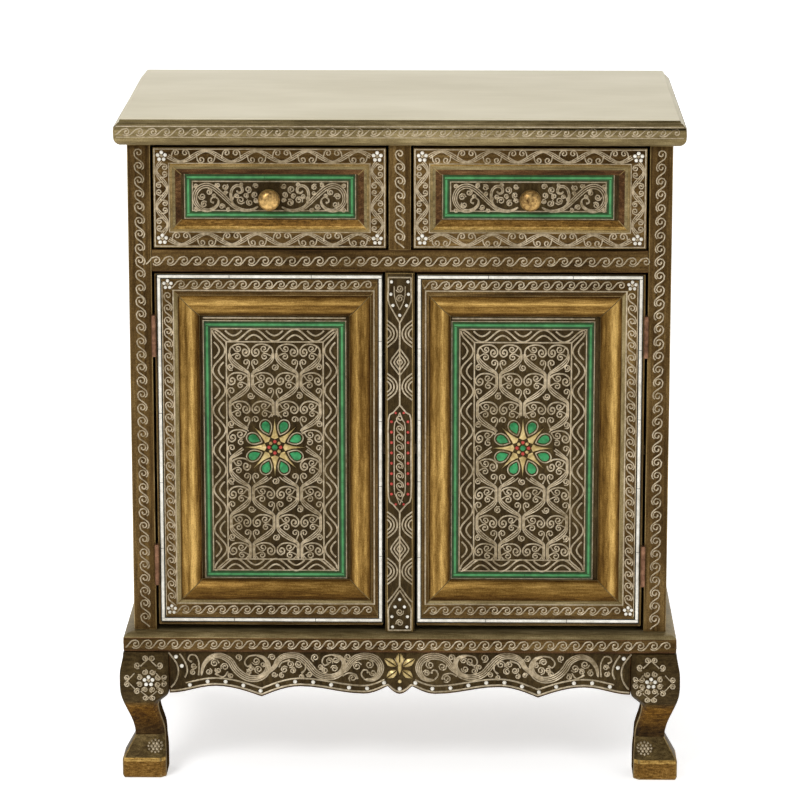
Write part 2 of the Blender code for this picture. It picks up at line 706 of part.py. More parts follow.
def build_catch(material, carcass):
    mount_y = DOOR_BACK_Y + GAP
    wing_y = DOOR_BACK_Y + 2 * GAP + STRIKE_THICKNESS
    rear_y = wing_y + CATCH_DEPTH
    wing_x = DOOR_MEETING_X + STRIKE_FROM_EDGE + STRIKE_WIDTH
    half_plan = [(wing_x, rear_y), (wing_x, wing_y), (STILE_HALF, wing_y), (STILE_HALF, mount_y)]
    plan = half_plan + [(-x, y) for x, y in reversed(half_plan)]
    outline = [(x, y, CATCH_MIDDLE - CATCH_HEIGHT / 2) for x, y in plan]
    add_piece("magnetic_catch", prism(outline, (0, 0, CATCH_HEIGHT)), material, carcass)


def drawer_front(side):
    """A front board with a flat border, a bead, and a slope down to the sunk panel."""
    bead_end = FRONT_BORDER + FRONT_BEAD_WIDTH
    stations = [
        (0.0, FRONT_THICKNESS),
        (0.0, 0.0),
        (FRONT_BORDER, 0.0),
        (FRONT_BORDER + FRONT_BEAD_WIDTH / 3, -FRONT_BEAD_RISE),
        (FRONT_BORDER + FRONT_BEAD_WIDTH * 2 / 3, -FRONT_BEAD_RISE),
        (bead_end, 0.0),
        (bead_end + FRONT_SLOPE_WIDTH, FRONT_RECESS),
    ]
    loops = []
    for inset, depth in stations:
        x0 = side * (DRAWER_INNER_X + inset)
        x1 = side * (DRAWER_OUTER_X - inset)
        z0 = DRAWER_BOTTOM + inset
        z1 = DRAWER_TOP - inset
        y = FACE_Y + depth
        loops.append([(x0, y, z0), (x1, y, z0), (x1, y, z1), (x0, y, z1)])
    bore_place = (side * DRAWER_MIDDLE_X, FACE_Y + 2 * FRONT_THICKNESS, DRAWER_MIDDLE_Z)
    bore = turned([(SCREW_BORE, 0.0), (SCREW_BORE, 3 * FRONT_THICKNESS)], bore_place, HINGE_SIDES)
    return combined([loft(loops), bore], ["DIFFERENCE"])


def drawer_side(near, inward):
    """A drawer side with its groove: near is its outer face, inward points into the drawer."""
    far = near + inward * DRAWER_SIDE_THICKNESS
    deep = far - inward * BOTTOM_GROOVE
    groove_low = SIDE_BOTTOM + BOTTOM_RAISE - GAP
    groove_high = SIDE_BOTTOM + BOTTOM_RAISE + BOTTOM_THICKNESS + GAP
    section = [
        (near, SIDE_BOTTOM),
        (near, SIDE_TOP),
        (far, SIDE_TOP),
        (far, groove_high),
        (deep, groove_high),
        (deep, groove_low),
        (far, groove_low),
        (far, SIDE_BOTTOM),
    ]
    return prism([(x, BOX_FRONT_Y, z) for x, z in section], (0, BOX_REAR_Y - BOX_FRONT_Y, 0))


def build_drawer(side_name, side, front_material, box_material, carrier):
    add_piece(f"{side_name}_drawer_front", drawer_front(side), front_material, carrier)
    outer = side * (DRAWER_OUTER_X - SIDE_INSET)
    inner = side * (DRAWER_INNER_X + SIDE_INSET)
    add_piece(f"{side_name}_drawer_outer_side", drawer_side(outer, -side), box_material, carrier)
    add_piece(f"{side_name}_drawer_inner_side", drawer_side(inner, side), box_material, carrier)
    inset = DRAWER_SIDE_THICKNESS
    xs = sorted((outer - side * (inset + GAP), inner + side * (inset + GAP)))
    bottom = SIDE_BOTTOM + BOTTOM_RAISE
    low = (xs[0], BOX_REAR_Y - DRAWER_BACK_THICKNESS, bottom + BOTTOM_THICKNESS + GAP)
    high = (xs[1], BOX_REAR_Y, SIDE_TOP)
    add_piece(f"{side_name}_drawer_back", block(low, high), box_material, carrier)
    inset = DRAWER_SIDE_THICKNESS - BOTTOM_GROOVE
    xs = sorted((outer - side * (inset + GAP), inner + side * (inset + GAP)))
    low = (xs[0], BOX_FRONT_Y, bottom)
    high = (xs[1], BOX_REAR_Y, bottom + BOTTOM_THICKNESS)
    add_piece(f"{side_name}_drawer_bottom", block(low, high), box_material, carrier)


def knob_profile():
    """(radius, distance in front of the panel): the bore, the foot, the neck and the round head."""
    head = KNOB_PROJECTION - KNOB_HEAD_HEIGHT
    profile = [
        (SCREW_BORE, KNOB_BORE_DEPTH),
        (SCREW_BORE, GAP),
        (KNOB_FOOT_RADIUS, GAP),
        (KNOB_FOOT_RADIUS, KNOB_FOOT_HEIGHT),
        (KNOB_NECK_RADIUS, KNOB_FOOT_HEIGHT + (KNOB_FOOT_RADIUS - KNOB_NECK_RADIUS) / 2),
        (KNOB_NECK_RADIUS, head),
    ]
    start = math.asin(KNOB_NECK_RADIUS / KNOB_RADIUS)
    for step in range(1, 2 * ARC_STEPS):
        angle = start + (math.pi - start) * step / (2 * ARC_STEPS)
        along = KNOB_HEAD_HEIGHT * (math.cos(start) - math.cos(angle)) / (math.cos(start) + 1)
        profile.append((KNOB_RADIUS * math.sin(angle), head + along))
    return profile + [(KNOB_TIP_RADIUS, KNOB_PROJECTION)]


def build_knob(side_name, side, brass, steel, carrier):
    place = (side * DRAWER_MIDDLE_X, FACE_Y + FRONT_RECESS, DRAWER_MIDDLE_Z)
    add_piece(f"{side_name}_drawer_knob", turned(knob_profile(), place, ROUND_SIDES), brass, carrier)
    behind = FRONT_THICKNESS - FRONT_RECESS + GAP
    screw = [
        (SCREW_HEAD_RADIUS / 2, -behind - SCREW_HEAD_HEIGHT),
        (SCREW_HEAD_RADIUS, -behind - SCREW_HEAD_HEIGHT / 2),
        (SCREW_HEAD_RADIUS, -behind),
        (SCREW_RADIUS, -behind),
        (SCREW_RADIUS, KNOB_BORE_DEPTH - SCREW_END_CLEARANCE),
    ]
    add_piece(f"{side_name}_drawer_knob_screw", turned(screw, place, HINGE_SIDES), steel, carrier)


def main():
    clear_scene()
    bronze = finish("bronze_paint", (0.16, 0.10, 0.035), 0.45, 0.3)
    gilt_top = finish("gilt_top", (0.42, 0.35, 0.20), 0.35, 0.6)
    dark_panel = finish("dark_panel_paint", (0.07, 0.05, 0.025), 0.5, 0.1)
    plain_wood = finish("plain_wood", (0.36, 0.22, 0.11), 0.6, 0.0)
    copper = finish("copper", (0.42, 0.20, 0.11), 0.4, 1.0)
    brass = finish("brass", (0.62, 0.42, 0.14), 0.3, 1.0)
    steel = finish("steel", (0.45, 0.44, 0.42), 0.35, 1.0)
    black = finish("black_plastic", (0.03, 0.03, 0.03), 0.5, 0.0)
    carcass = body("carcass")
    build_top_board(gilt_top, carcass)
    build_base_board(bronze, carcass)
    build_posts(bronze, carcass)
    build_face_frame(bronze, carcass)
    build_panels(bronze, plain_wood, carcass)
    build_runners(plain_wood, carcass)
    build_aprons(bronze, carcass)
    build_legs(bronze, carcass)
    build_catch(black, carcass)
    for side_name, side in (("left", -1), ("right", 1)):
        door = body(f"{side_name}_door", (side * HINGE_X, HINGE_Y, DOOR_BOTTOM))
        build_door(side_name, side, bronze, dark_panel, steel, door)
        build_hinges(side_name, side, copper, carcass, door)
        drawer = body(f"{side_name}_drawer", (side * DRAWER_MIDDLE_X, FACE_Y, SIDE_BOTTOM))
        build_drawer(side_name, side, bronze, plain_wood, drawer)
        build_knob(side_name, side, brass, steel, drawer)


main()
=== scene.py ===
import math
import random

import bmesh
import bpy
from mathutils import Matrix, Vector
from mathutils.bvhtree import BVHTree


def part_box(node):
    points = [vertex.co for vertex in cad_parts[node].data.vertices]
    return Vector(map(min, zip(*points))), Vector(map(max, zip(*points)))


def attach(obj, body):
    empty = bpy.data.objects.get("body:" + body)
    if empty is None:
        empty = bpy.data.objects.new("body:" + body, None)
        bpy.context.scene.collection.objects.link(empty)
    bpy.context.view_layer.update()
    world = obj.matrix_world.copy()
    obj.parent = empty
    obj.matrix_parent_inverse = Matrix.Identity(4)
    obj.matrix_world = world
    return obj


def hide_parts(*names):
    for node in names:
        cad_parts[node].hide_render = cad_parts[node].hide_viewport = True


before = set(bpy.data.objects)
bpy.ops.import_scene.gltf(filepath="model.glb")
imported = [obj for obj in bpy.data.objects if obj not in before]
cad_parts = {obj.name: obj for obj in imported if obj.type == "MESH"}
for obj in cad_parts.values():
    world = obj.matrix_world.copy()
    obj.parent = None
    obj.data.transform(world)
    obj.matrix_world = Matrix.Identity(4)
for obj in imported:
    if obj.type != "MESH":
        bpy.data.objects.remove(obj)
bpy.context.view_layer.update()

random.seed(11)
sides = {"left": -1, "right": 1}  # and which way x runs there


# finishes

def plug(finish, node, sockets):  # each socket takes a link or a plain value
    for socket, value in sockets.items():
        if isinstance(value, bpy.types.NodeSocket):
            finish.node_tree.links.new(value, node.inputs[socket])
        else:
            node.inputs[socket].default_value = value


def setShader(finish, sockets):
    plug(finish, finish.node_tree.nodes["Principled BSDF"], sockets)


def addNode(finish, kind, **sockets):
    node = finish.node_tree.nodes.new("ShaderNode" + kind)
    plug(finish, node, sockets)
    return node


def newFinish(name, roughness, metallic=0.0, specular=0.5):
    finish = bpy.data.materials.new(name)
    finish.use_nodes = True
    setShader(finish, {"Roughness": roughness, "Metallic": metallic, "Specular IOR Level": specular})
    return finish


def grain(finish, scale, stretch=(1.0, 1.0, 1.0), detail=5.0):  # noise in the object's own frame
    coords = addNode(finish, "TexCoord").outputs["Object"]
    mapped = addNode(finish, "Mapping", Vector=coords, Scale=stretch).outputs["Vector"]
    noise = addNode(finish, "TexNoise", Vector=mapped, Scale=scale, Detail=detail, Roughness=0.62)
    return noise.outputs["Fac"]


def colourRamp(finish, source, stops):  # a stop is its place, then its colour
    ramp = addNode(finish, "ValToRGB", Fac=source)
    elements = ramp.color_ramp.elements
    while len(elements) < len(stops):
        elements.new(0.5)
    for element, (place, *colour) in zip(elements, stops):
        element.position = place
        element.color = (*colour, 1.0)
    return ramp.outputs["Color"]


def blended(finish, share, first, second):
    mix = addNode(finish, "Mix")
    mix.data_type = "RGBA"
    plug(finish, mix, {0: share, 6: first, 7: second})
    return mix.outputs[2]


def ranged(finish, source, fromLow=0.0, fromHigh=1.0, low=0.0, high=1.0):
    limits = {"From Min": fromLow, "From Max": fromHigh, "To Min": low, "To Max": high}
    return addNode(finish, "MapRange", Value=source, **limits).outputs["Result"]


def useBump(finish, source, strength, distance):
    bump = addNode(finish, "Bump", Height=source, Strength=strength, Distance=distance)
    setShader(finish, {"Normal": bump.outputs["Normal"]})


def along(direction, stretch=0.12):  # brush strokes run this way
    return tuple(stretch if axis == direction else 1.0 for axis in "xyz")


def rubbedPaint(name, direction, streak, patch, metallic, roughness, stretch, stops, fades=(), attribute=""):
    finish = newFinish(name, roughness, metallic, 0.08)
    streaks = grain(finish, streak, along(direction, stretch))
    patches = grain(finish, patch, along(direction, 0.4), 4.0)
    clouds = blended(finish, 0.44, streaks, patches)
    clouds = blended(finish, 0.26, clouds, grain(finish, 900, detail=2.0))
    if attribute:  # rubbed back, with painted highlight and shade, as far as the piece's own attribute says
        rubbedAndLit = addNode(finish, "Attribute")
        rubbedAndLit.attribute_name = attribute
        clouds = blended(finish, 0.42, ranged(finish, clouds, 0.16, 0.84), rubbedAndLit.outputs["Fac"])
    colour = colourRamp(finish, clouds, stops)
    for low, high, upper in fades:  # another colour above a soft line
        coords = addNode(finish, "TexCoord").outputs["Object"]
        height = addNode(finish, "SeparateXYZ", Vector=coords).outputs["Z"]
        colour = blended(finish, ranged(finish, height, low, high), colour, colourRamp(finish, clouds, upper))
    worn = ranged(finish, streaks, low=roughness - 0.08, high=roughness + 0.14)
    setShader(finish, {"Base Color": colour, "Roughness": worn})
    useBump(finish, streaks, 0.3, 0.0005)
    return finish


rubbed = {  # stroke directions, streak, patch, metallic, roughness, stretch and the ramp's stops
    "bronze": ("xyz", 260, 14, 0.5, 0.48, 0.05, [
        (0.36, 0.018, 0.009, 0.002), (0.46, 0.058, 0.031, 0.008), (0.54, 0.112, 0.065, 0.020),
        (0.66, 0.27, 0.175, 0.062)]),
    "olive": ("xz", 300, 14, 0.5, 0.45, 0.12, [
        (0.36, 0.095, 0.068, 0.027), (0.46, 0.175, 0.130, 0.056), (0.54, 0.265, 0.205, 0.096),
        (0.66, 0.44, 0.350, 0.185)]),
    # a lighter gold, used for painted highlights
    "bright": ("x", 520, 15, 0.55, 0.40, 0.3, [
        (0.38, 0.095, 0.046, 0.009), (0.45, 0.27, 0.158, 0.038), (0.53, 0.47, 0.287, 0.078),
        (0.63, 0.80, 0.56, 0.21)]),
    "deep": ("x", 520, 15, 0.55, 0.42, 0.3, [
        (0.38, 0.032, 0.014, 0.003), (0.45, 0.100, 0.048, 0.009), (0.53, 0.19, 0.098, 0.020),
        (0.63, 0.37, 0.215, 0.058)]),
    "umber": ("x", 320, 20, 0.4, 0.48, 0.12, [
        (0.36, 0.016, 0.007, 0.002), (0.48, 0.058, 0.026, 0.009), (0.56, 0.12, 0.058, 0.021),
        (0.68, 0.26, 0.145, 0.060)]),
    "gilt": ("xz", 420, 13, 0.55, 0.42, 0.10, [
        (0.29, 0.022, 0.009, 0.001), (0.395, 0.060, 0.026, 0.004), (0.50, 0.158, 0.082, 0.016),
        (0.605, 0.345, 0.203, 0.052), (0.71, 0.66, 0.420, 0.132)]),
    # pale gilt for softened edges: wear, and partly a painted highlight
    "rim": ("xyz", 200, 25, 0.5, 0.4, 0.12, [
        (0.36, 0.075, 0.046, 0.014), (0.50, 0.23, 0.155, 0.056), (0.66, 0.50, 0.37, 0.17)]),
    "leg": ("x", 420, 34, 0.5, 0.42, 0.35, [
        (0.37, 0.008, 0.004, 0.001), (0.46, 0.022, 0.011, 0.003), (0.55, 0.048, 0.025, 0.007),
        (0.66, 0.11, 0.065, 0.020)]),
    "dusk": ("x", 300, 14, 0.5, 0.45, 0.12, [
        (0.36, 0.058, 0.042, 0.016), (0.46, 0.108, 0.081, 0.034), (0.54, 0.165, 0.128, 0.059),
        (0.66, 0.27, 0.215, 0.113)]),
    "instep": ("x", 300, 40, 0.4, 0.50, 0.5, [
        (0.36, 0.020, 0.011, 0.004), (0.46, 0.058, 0.037, 0.012), (0.54, 0.112, 0.076, 0.027),
        (0.66, 0.25, 0.175, 0.070)]),
    "panel": ("z", 260, 16, 0.3, 0.55, 0.3, [
        (0.36, 0.014, 0.008, 0.002), (0.48, 0.036, 0.022, 0.007), (0.56, 0.062, 0.040, 0.014),
        (0.70, 0.13, 0.09, 0.036)]),
}
shinStops = [(0.37, 0.014, 0.005, 0.001), (0.45, 0.058, 0.024, 0.003), (0.54, 0.150, 0.069, 0.009),
             (0.66, 0.38, 0.205, 0.042)]
extras = {  # what two of them have besides
    "gilt": {"attribute": "gilt"},
    # the leg's own stops are darkest, painted shade at the ankle; the fades lighten it up the shin and give
    # the panel's colour at the knee
    "leg": {"fades": [(0.052, 0.076, shinStops), (0.081, 0.089, rubbed["panel"][-1])]},
}
finishes = {}
for kind, (directions, *facts) in rubbed.items():
    for axis in directions:
        name = kind + axis.upper()
        finishes[name] = rubbedPaint(name, axis, *facts, **extras.get(kind, {}))


# the top's pale beige is a painted reflection of the bright room on the gilt
def paleTopReflection(stops):
    finish = newFinish("paleTopReflection", 0.55, specular=0.12)
    clouds = grain(finish, 7, (0.5, 1.0, 1.0), 3.0)
    brush = grain(finish, 130, along("x"))
    colour = colourRamp(finish, blended(finish, 0.18, clouds, brush), stops)
    setShader(finish, {"Base Color": colour, "Roughness": ranged(finish, clouds, low=0.48, high=0.62)})
    useBump(finish, brush, 0.05, 0.0003)
    return finish


def speckledPaint(name, dark, light, scale, roughness, metallic=0.0):
    finish = newFinish(name, roughness, metallic, 0.3)
    fine = grain(finish, scale, detail=4.0)
    both = blended(finish, 0.4, fine, grain(finish, scale / 12, detail=2.0))
    setShader(finish, {"Base Color": colourRamp(finish, both, [(0.36, *dark), (0.64, *light)])})
    useBump(finish, fine, 0.15, 0.0004)
    return finish


def plainWood(name, dark, light, direction):
    finish = newFinish(name, 0.62)
    rings = grain(finish, 60, along(direction), 6.0)
    pores = grain(finish, 420, along(direction), 2.0)
    both = blended(finish, 0.3, rings, pores)
    setShader(finish, {"Base Color": colourRamp(finish, both, [(0.36, *dark), (0.64, *light)])})
    useBump(finish, pores, 0.2, 0.0004)
    return finish


speckled = {  # dark, light, scale, roughness and metallic
    "silverLine": ((0.26, 0.200, 0.112), (0.69, 0.585, 0.420), 240, 0.36, 0.45),
    "ivory": ((0.58, 0.545, 0.455), (0.92, 0.89, 0.81), 180, 0.38),
    "green": ((0.008, 0.120, 0.032), (0.040, 0.34, 0.115), 140, 0.34),
    "greenCore": ((0.030, 0.165, 0.046), (0.078, 0.31, 0.108), 140, 0.36),
    "greenShadeSide": ((0.006, 0.026, 0.004), (0.020, 0.075, 0.013), 140, 0.40),
    "petalGold": ((0.33, 0.225, 0.070), (0.74, 0.58, 0.27), 200, 0.34, 0.4),
    "red": ((0.36, 0.028, 0.022), (0.62, 0.080, 0.060), 200, 0.35),
    "copper": ((0.10, 0.045, 0.022), (0.34, 0.175, 0.10), 160, 0.42, 0.7),
    "brass": ((0.085, 0.036, 0.006), (0.72, 0.46, 0.165), 330, 0.36, 0.75),
    "steel": ((0.36, 0.35, 0.33), (0.52, 0.51, 0.49), 200, 0.34, 0.9),
    "plastic": ((0.018, 0.018, 0.018), (0.035, 0.035, 0.035), 700, 0.55),
    "shade": ((0.016, 0.008, 0.003), (0.060, 0.034, 0.012), 90, 0.7),
    "groove": ((0.006, 0.006, 0.003), (0.022, 0.018, 0.008), 200, 0.6),
}
for name, facts in speckled.items():
    finishes[name] = speckledPaint(name, *facts)
setShader(finishes["shade"], {"Specular IOR Level": 0.0})
for axis in "xy":
    name = "wood" + axis.upper()
    finishes[name] = plainWood(name, (0.20, 0.115, 0.052), (0.38, 0.245, 0.125), axis)
# colours of the painted reflection on the top
topReflectionStops = [(0.36, 0.59, 0.535, 0.390), (0.50, 0.645, 0.590, 0.443), (0.64, 0.70, 0.645, 0.498)]
finishes["paleTopReflection"] = paleTopReflection(topReflectionStops)
print("finishes mixed:", len(finishes))


# boards, doors and drawers: merged copies of the nodes with softened, gold-rubbed edges, the pale ones partly
# a painted highlight

dressed = {}


def selectOnly(piece):
    bpy.ops.object.select_all(action="DESELECT")
    piece.select_set(True)
    bpy.context.view_layer.objects.active = piece


def newPiece(name, mesh):
    piece = bpy.data.objects.new(name, mesh)
    bpy.context.scene.collection.objects.link(piece)
    selectOnly(piece)
    return piece


def smoothed(degrees):
    bpy.ops.object.shade_smooth_by_angle(angle=math.radians(degrees))


def mergedCopy(node, cuts):  # cuts are planes, a place and a direction each
    piece = newPiece(node + "_dressed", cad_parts[node].data.copy())
    piece.data.materials.clear()
    bpy.ops.object.mode_set(mode="EDIT")
    bpy.ops.mesh.select_all(action="SELECT")
    bpy.ops.mesh.customdata_custom_splitnormals_clear()
    bpy.ops.mesh.remove_doubles(threshold=0.00002)
    bpy.ops.mesh.dissolve_limited(angle_limit=math.radians(0.6))
    for place, direction in cuts:
        bpy.ops.mesh.select_all(action="SELECT")
        bpy.ops.mesh.bisect(plane_co=place, plane_no=direction)
    bpy.ops.object.mode_set(mode="OBJECT")
    return piece


def dress(node, body, names, edge=0.0006, paint=None, cuts=()):
    piece = mergedCopy(node, cuts)
    for name in names:
        piece.data.materials.append(finishes[name])
    if paint:
        paint(piece)
    soften = piece.modifiers.new("softEdges", "BEVEL")
    soften.width = edge
    soften.segments = 2
    soften.limit_method = "ANGLE"
    soften.angle_limit = math.radians(33)
    soften.material = 1 if len(names) > 1 else -1  # the second finish is the worn rim; where it is the pale rim finish it is partly a painted highlight
    bpy.ops.object.modifier_apply(modifier=soften.name)
    smoothed(38)
    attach(piece, body)
    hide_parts(node)
    dressed[node] = piece


def paintFaces(piece, slot, test):  # test takes a face's middle and its normal
    for face in piece.data.polygons:
        if test(face.center, face.normal):
            face.material_index = slot


boards = [  # finish, rim, edge radius, and the nodes that have them
    ("bronzeX", "umberX", 0.0010, ["base_board"]), ("bronzeX", "umberX", 0.0006, ["mid_rail"]),
    ("bronzeZ", "rimZ", 0.0006, ["drawer_post"]), ("panelZ", "rimZ", 0.0007, ["centre_stile"]),
    ("bronzeZ", "rimZ", 0.0009, ["front_left_post", "front_right_post", "rear_left_post", "rear_right_post"]),
    ("bronzeZ", "bronzeZ", 0.0005, ["left_side_panel", "right_side_panel", "back_panel"]),
    ("panelZ", "umberX", 0.0009, ["front_apron"]), ("bronzeX", "rimX", 0.0008, ["rear_apron"]),
    ("bronzeY", "rimY", 0.0009, ["left_apron", "right_apron"]),
]
for finish, rim, edge, nodes in boards:
    for node in nodes:
        dress(node, "carcass", (finish, rim), edge)
dressed["base_board"].data.materials.append(finishes["oliveX"])  # its upward faces are painted lighter olive, a painted highlight on the ledge
paintFaces(dressed["base_board"], 2, lambda middle, normal: normal.z > 0.4)

topBoard = {
    "edge": 0.0005, "near": 0.0006, "reflectionAbove": 0.7362, "finishes": ("oliveX", "oliveX", "paleTopReflection", "duskX"),
    "cadRings": [(0.0, 0.7370), (0.0012, 0.7370), (0.0038, 0.7373), (0.0062, 0.7382), (0.0081, 0.7396),
                 (0.0093, 0.7413), (0.0097, 0.7432), (0.0097, 0.7450)],  # from the edge inwards, and height
    "rings": [(0.0, 0.7335), (0.0005, 0.7355), (0.0018, 0.7368), (0.0032, 0.7384), (0.0046, 0.7400),
              (0.0060, 0.7406), (0.0068, 0.7432), (0.0084, 0.7450)],
    "bands": [(0.7356, 0), (0.7367, 3), (0.7385, 0), (0.7399, 3), (0.7408, 0), (0.7431, 3), (0.7460, 2)],
}


def shapeTop(piece):  # the rings of the cove moved out to a worn, stepped round
    low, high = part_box("top_board")
    for corner in piece.data.vertices:
        x, y, z = corner.co
        fromSide, fromFront = high.x - abs(x), min(y - low.y, high.y - y)
        for (cadIn, cadHeight), (inward, height) in zip(topBoard["cadRings"], topBoard["rings"]):
            if abs(fromSide - cadIn) + abs(fromFront - cadIn) + abs(z - cadHeight) <= topBoard["near"]:
                depth = low.y + inward if y < 0 else high.y - inward
                corner.co = (math.copysign(high.x - inward, x), depth, height)


def paintTop(piece):  # pale face and ends, a painted reflection on the gilt, dark lines along the front
    for face in piece.data.polygons:
        height, toFront = face.center.z, face.normal.y < -0.2
        face.material_index = [slot for top, slot in topBoard["bands"] if height < top][0]
        if height > topBoard["reflectionAbove"] and not toFront:
            face.material_index = 2


dress("top_board", "carcass", topBoard["finishes"], topBoard["edge"], shapeTop)
paintTop(dressed["top_board"])

leg = {"edge": 0.0014, "footTop": 0.022, "footEdge": (0.0195, 0.0236), "ankle": 0.047, "wornHighlightTop": 0.088,
       "toe": 0.004, "chamfer": 0.0065,
       "finishes": ("legX", "rimX", "instepX", "shade", "brightX", "deepX")}


def shapeLeg(piece):  # the instep slopes straight down to a sharp edge round the foot
    corners = [corner.co for corner in piece.data.vertices]
    for axis in (0, 1):
        outward = math.copysign(1.0, corners[0][axis])
        reach = {}
        for corner in corners:
            level = round(corner.z, 4)
            reach[level] = max(reach.get(level, 0.0), outward * corner[axis])
        foot, ankle = reach[leg["footTop"]], reach[leg["ankle"]]
        for corner in corners:
            share = (corner.z - leg["footTop"]) / (leg["ankle"] - leg["footTop"])
            outer = reach[round(corner.z, 4)]
            if 0.0 < share < 1.0 and outward * corner[axis] > outer - leg["chamfer"]:
                corner[axis] += outward * (foot + (ankle - foot) * share - outer)


def towardsMiddle(piece):
    return -1 if piece.data.vertices[0].co.x > 0 else 1


def paintLeg(piece):  # olive instep, gilt foot with a painted highlight along its upper edge, painted shade on the inner sides
    shapeLeg(piece)
    inward = towardsMiddle(piece)
    low, high = leg["footEdge"]
    paintFaces(piece, 2, lambda middle, normal: high < middle.z < leg["ankle"])
    paintFaces(piece, 5, lambda middle, normal: middle.z < low)
    paintFaces(piece, 4, lambda middle, normal: low < middle.z < high)
    paintFaces(piece, 3, lambda middle, normal: normal.x * inward > 0.85)


def keepWornHighlight(piece):  # the softened edges keep their pale worn rim and painted highlight only on the foot and down the inner edge
    inward = towardsMiddle(piece)
    low, high = leg["footEdge"]
    for face in piece.data.polygons:
        height, side = face.center.z, face.normal.x * inward
        isInner = height < leg["wornHighlightTop"] and side > 0.7
        isOuter = height < leg["ankle"] and side < -0.3
        isWornHighlight = isInner or isOuter or height < leg["toe"] or low < height < high
        if face.material_index == 1 and not isWornHighlight:
            face.material_index = 0 if height > leg["ankle"] else 2 if height > high else 5


footCuts = [((0, 0, height), (0, 0, 1)) for height in leg["footEdge"]]
for node in ("front_left_leg", "front_right_leg", "rear_left_leg", "rear_right_leg"):
    dress(node, "carcass", leg["finishes"], leg["edge"], paintLeg, cuts=footCuts)
    keepWornHighlight(dressed[node])

dress("shelf", "carcass", ("woodX",))
for side in ("left", "right", "centre"):
    dress(side + "_runner", "carcass", ("woodY",))
dress("magnetic_catch", "carcass", ("plastic",))
print("carcass dressed")

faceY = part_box("front_left_post")[0].y
door = {"bandHinge": 0.025, "bandMeeting": 0.0132, "bandTop": 0.024, "bandBottom": 0.028, "moulding": 0.0235,
        "frontPart": 0.011, "edge": 0.0004, "wornBead": 0.0045,  # olive strip beside the moulding
        "strips": {"hinge_stile": "olive", "meeting_stile": "bronze",
                   "top_rail": "bronze", "bottom_rail": "olive"},
        "gilt": {  # how bright the gilding is painted, from the opening outwards: rubbed gilt with painted highlight on the ridges and painted shade at the edges
            "left_hinge_stile": (0.12, 0.36, 0.64, 0.89, 0.74, 0.48, 0.68, 0.58, 0.12),
            "right_hinge_stile": (0.15, 0.45, 0.38, 0.50, 0.64, 0.86, 0.80, 0.45, 0.15),
            "meeting_stile": (0.10, 0.50, 0.75, 0.85, 0.58, 0.55, 0.68, 0.50, 0.20),
            "top_rail": (0.22, 0.35, 0.68, 0.56, 0.50, 0.86, 0.66, 0.46, 0.10),
            "bottom_rail": (0.10, 0.55, 0.65, 0.55, 0.55, 0.45, 0.40, 0.25, 0.20)}}
doorHinge = max(abs(corner.x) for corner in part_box("right_door_hinge_stile"))
doorMeeting = min(abs(corner.x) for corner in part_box("right_door_meeting_stile"))
doorBottom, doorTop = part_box("right_door_bottom_rail")[0].z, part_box("right_door_top_rail")[1].z
openLow = (doorMeeting + door["bandMeeting"] + door["moulding"],
           doorBottom + door["bandBottom"] + door["moulding"])
openHigh = (doorHinge - door["bandHinge"] - door["moulding"], doorTop - door["bandTop"] - door["moulding"])
stripReach = door["moulding"] + door["wornBead"]
stripCuts = {"hinge_stile": [((turn * (openHigh[0] + stripReach), 0, 0), (1, 0, 0)) for turn in (-1, 1)],
             "bottom_rail": [((0, 0, openLow[1] - stripReach), (0, 0, 1))]}


def outsideOpening(place):
    x, z = abs(place.x), place.z
    return max(openLow[0] - x, x - openHigh[0], openLow[1] - z, z - openHigh[1])


def paintMoulding(piece):
    deepest = faceY + door["frontPart"]
    paintFaces(piece, 3, lambda middle, normal: outsideOpening(middle) < stripReach and normal.y < -0.5)
    paintFaces(piece, 2, lambda middle, normal:
               outsideOpening(middle) < door["moulding"] + 0.0001 and middle.y < deepest)


def rubAndLightMoulding(piece, shares):  # painted highlight on two ridges with a hollow between them, and painted shade at the edges
    gilt = piece.data.attributes.new("gilt", "FLOAT", "POINT")
    for corner, mark in zip(piece.data.vertices, gilt.data):
        across = min(max(outsideOpening(corner.co) / door["moulding"], 0.0), 1.0) * (len(shares) - 1)
        i = min(int(across), len(shares) - 2)
        mark.value = shares[i] + (shares[i + 1] - shares[i]) * (across - i)


for side in sides:
    for member, strip in door["strips"].items():
        node = f"{side}_door_{member}"
        names = [name + ("Z" if "stile" in member else "X") for name in ("bronze", "rim", "gilt", strip)]
        dress(node, f"{side}_door", names, door["edge"], paintMoulding, cuts=stripCuts.get(member, ()))
        rubAndLightMoulding(dressed[node], door["gilt"].get(f"{side}_{member}") or door["gilt"][member])
    dress(f"{side}_door_panel", f"{side}_door", ("panelZ",), door["edge"])
    dress(f"{side}_door_strike", f"{side}_door", ("steel",), 0.0003)
print("doors dressed")

drawer = {"border": 0.018, "recess": 0.005, "edge": 0.0005,
          "bright": 0.0240,  # where the slope's bright part ends
          "finishes": ("bronzeX", "rimX", "brightX", "panelZ", "umberX", "deepX", "oliveX"),
          "box": {"outer_side": "woodY", "inner_side": "woodY", "back": "woodX", "bottom": "woodY"}}
sunkY = faceY + drawer["recess"]


def paintDrawerFront(piece):  # olive bead and red-brown inner slope, both painted lighter where they face up as painted light from above; dark sunk panel
    low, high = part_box(piece.name.removesuffix("_dressed"))
    for face in piece.data.polygons:
        x, y, z = face.center
        inward = min(x - low.x, high.x - x, z - low.z, high.z - z)
        isWorked = inward > drawer["border"] - 0.0001 and y < sunkY + 0.0003 and abs(y - faceY) > 0.0001
        if isWorked and abs(y - sunkY) < 0.0003:
            face.material_index = 3
        elif isWorked:
            facesUpLit = face.normal.z > 0.3
            inner, outer = (5, 2) if facesUpLit else (4, 6)
            face.material_index = inner if inward > drawer["bright"] else outer


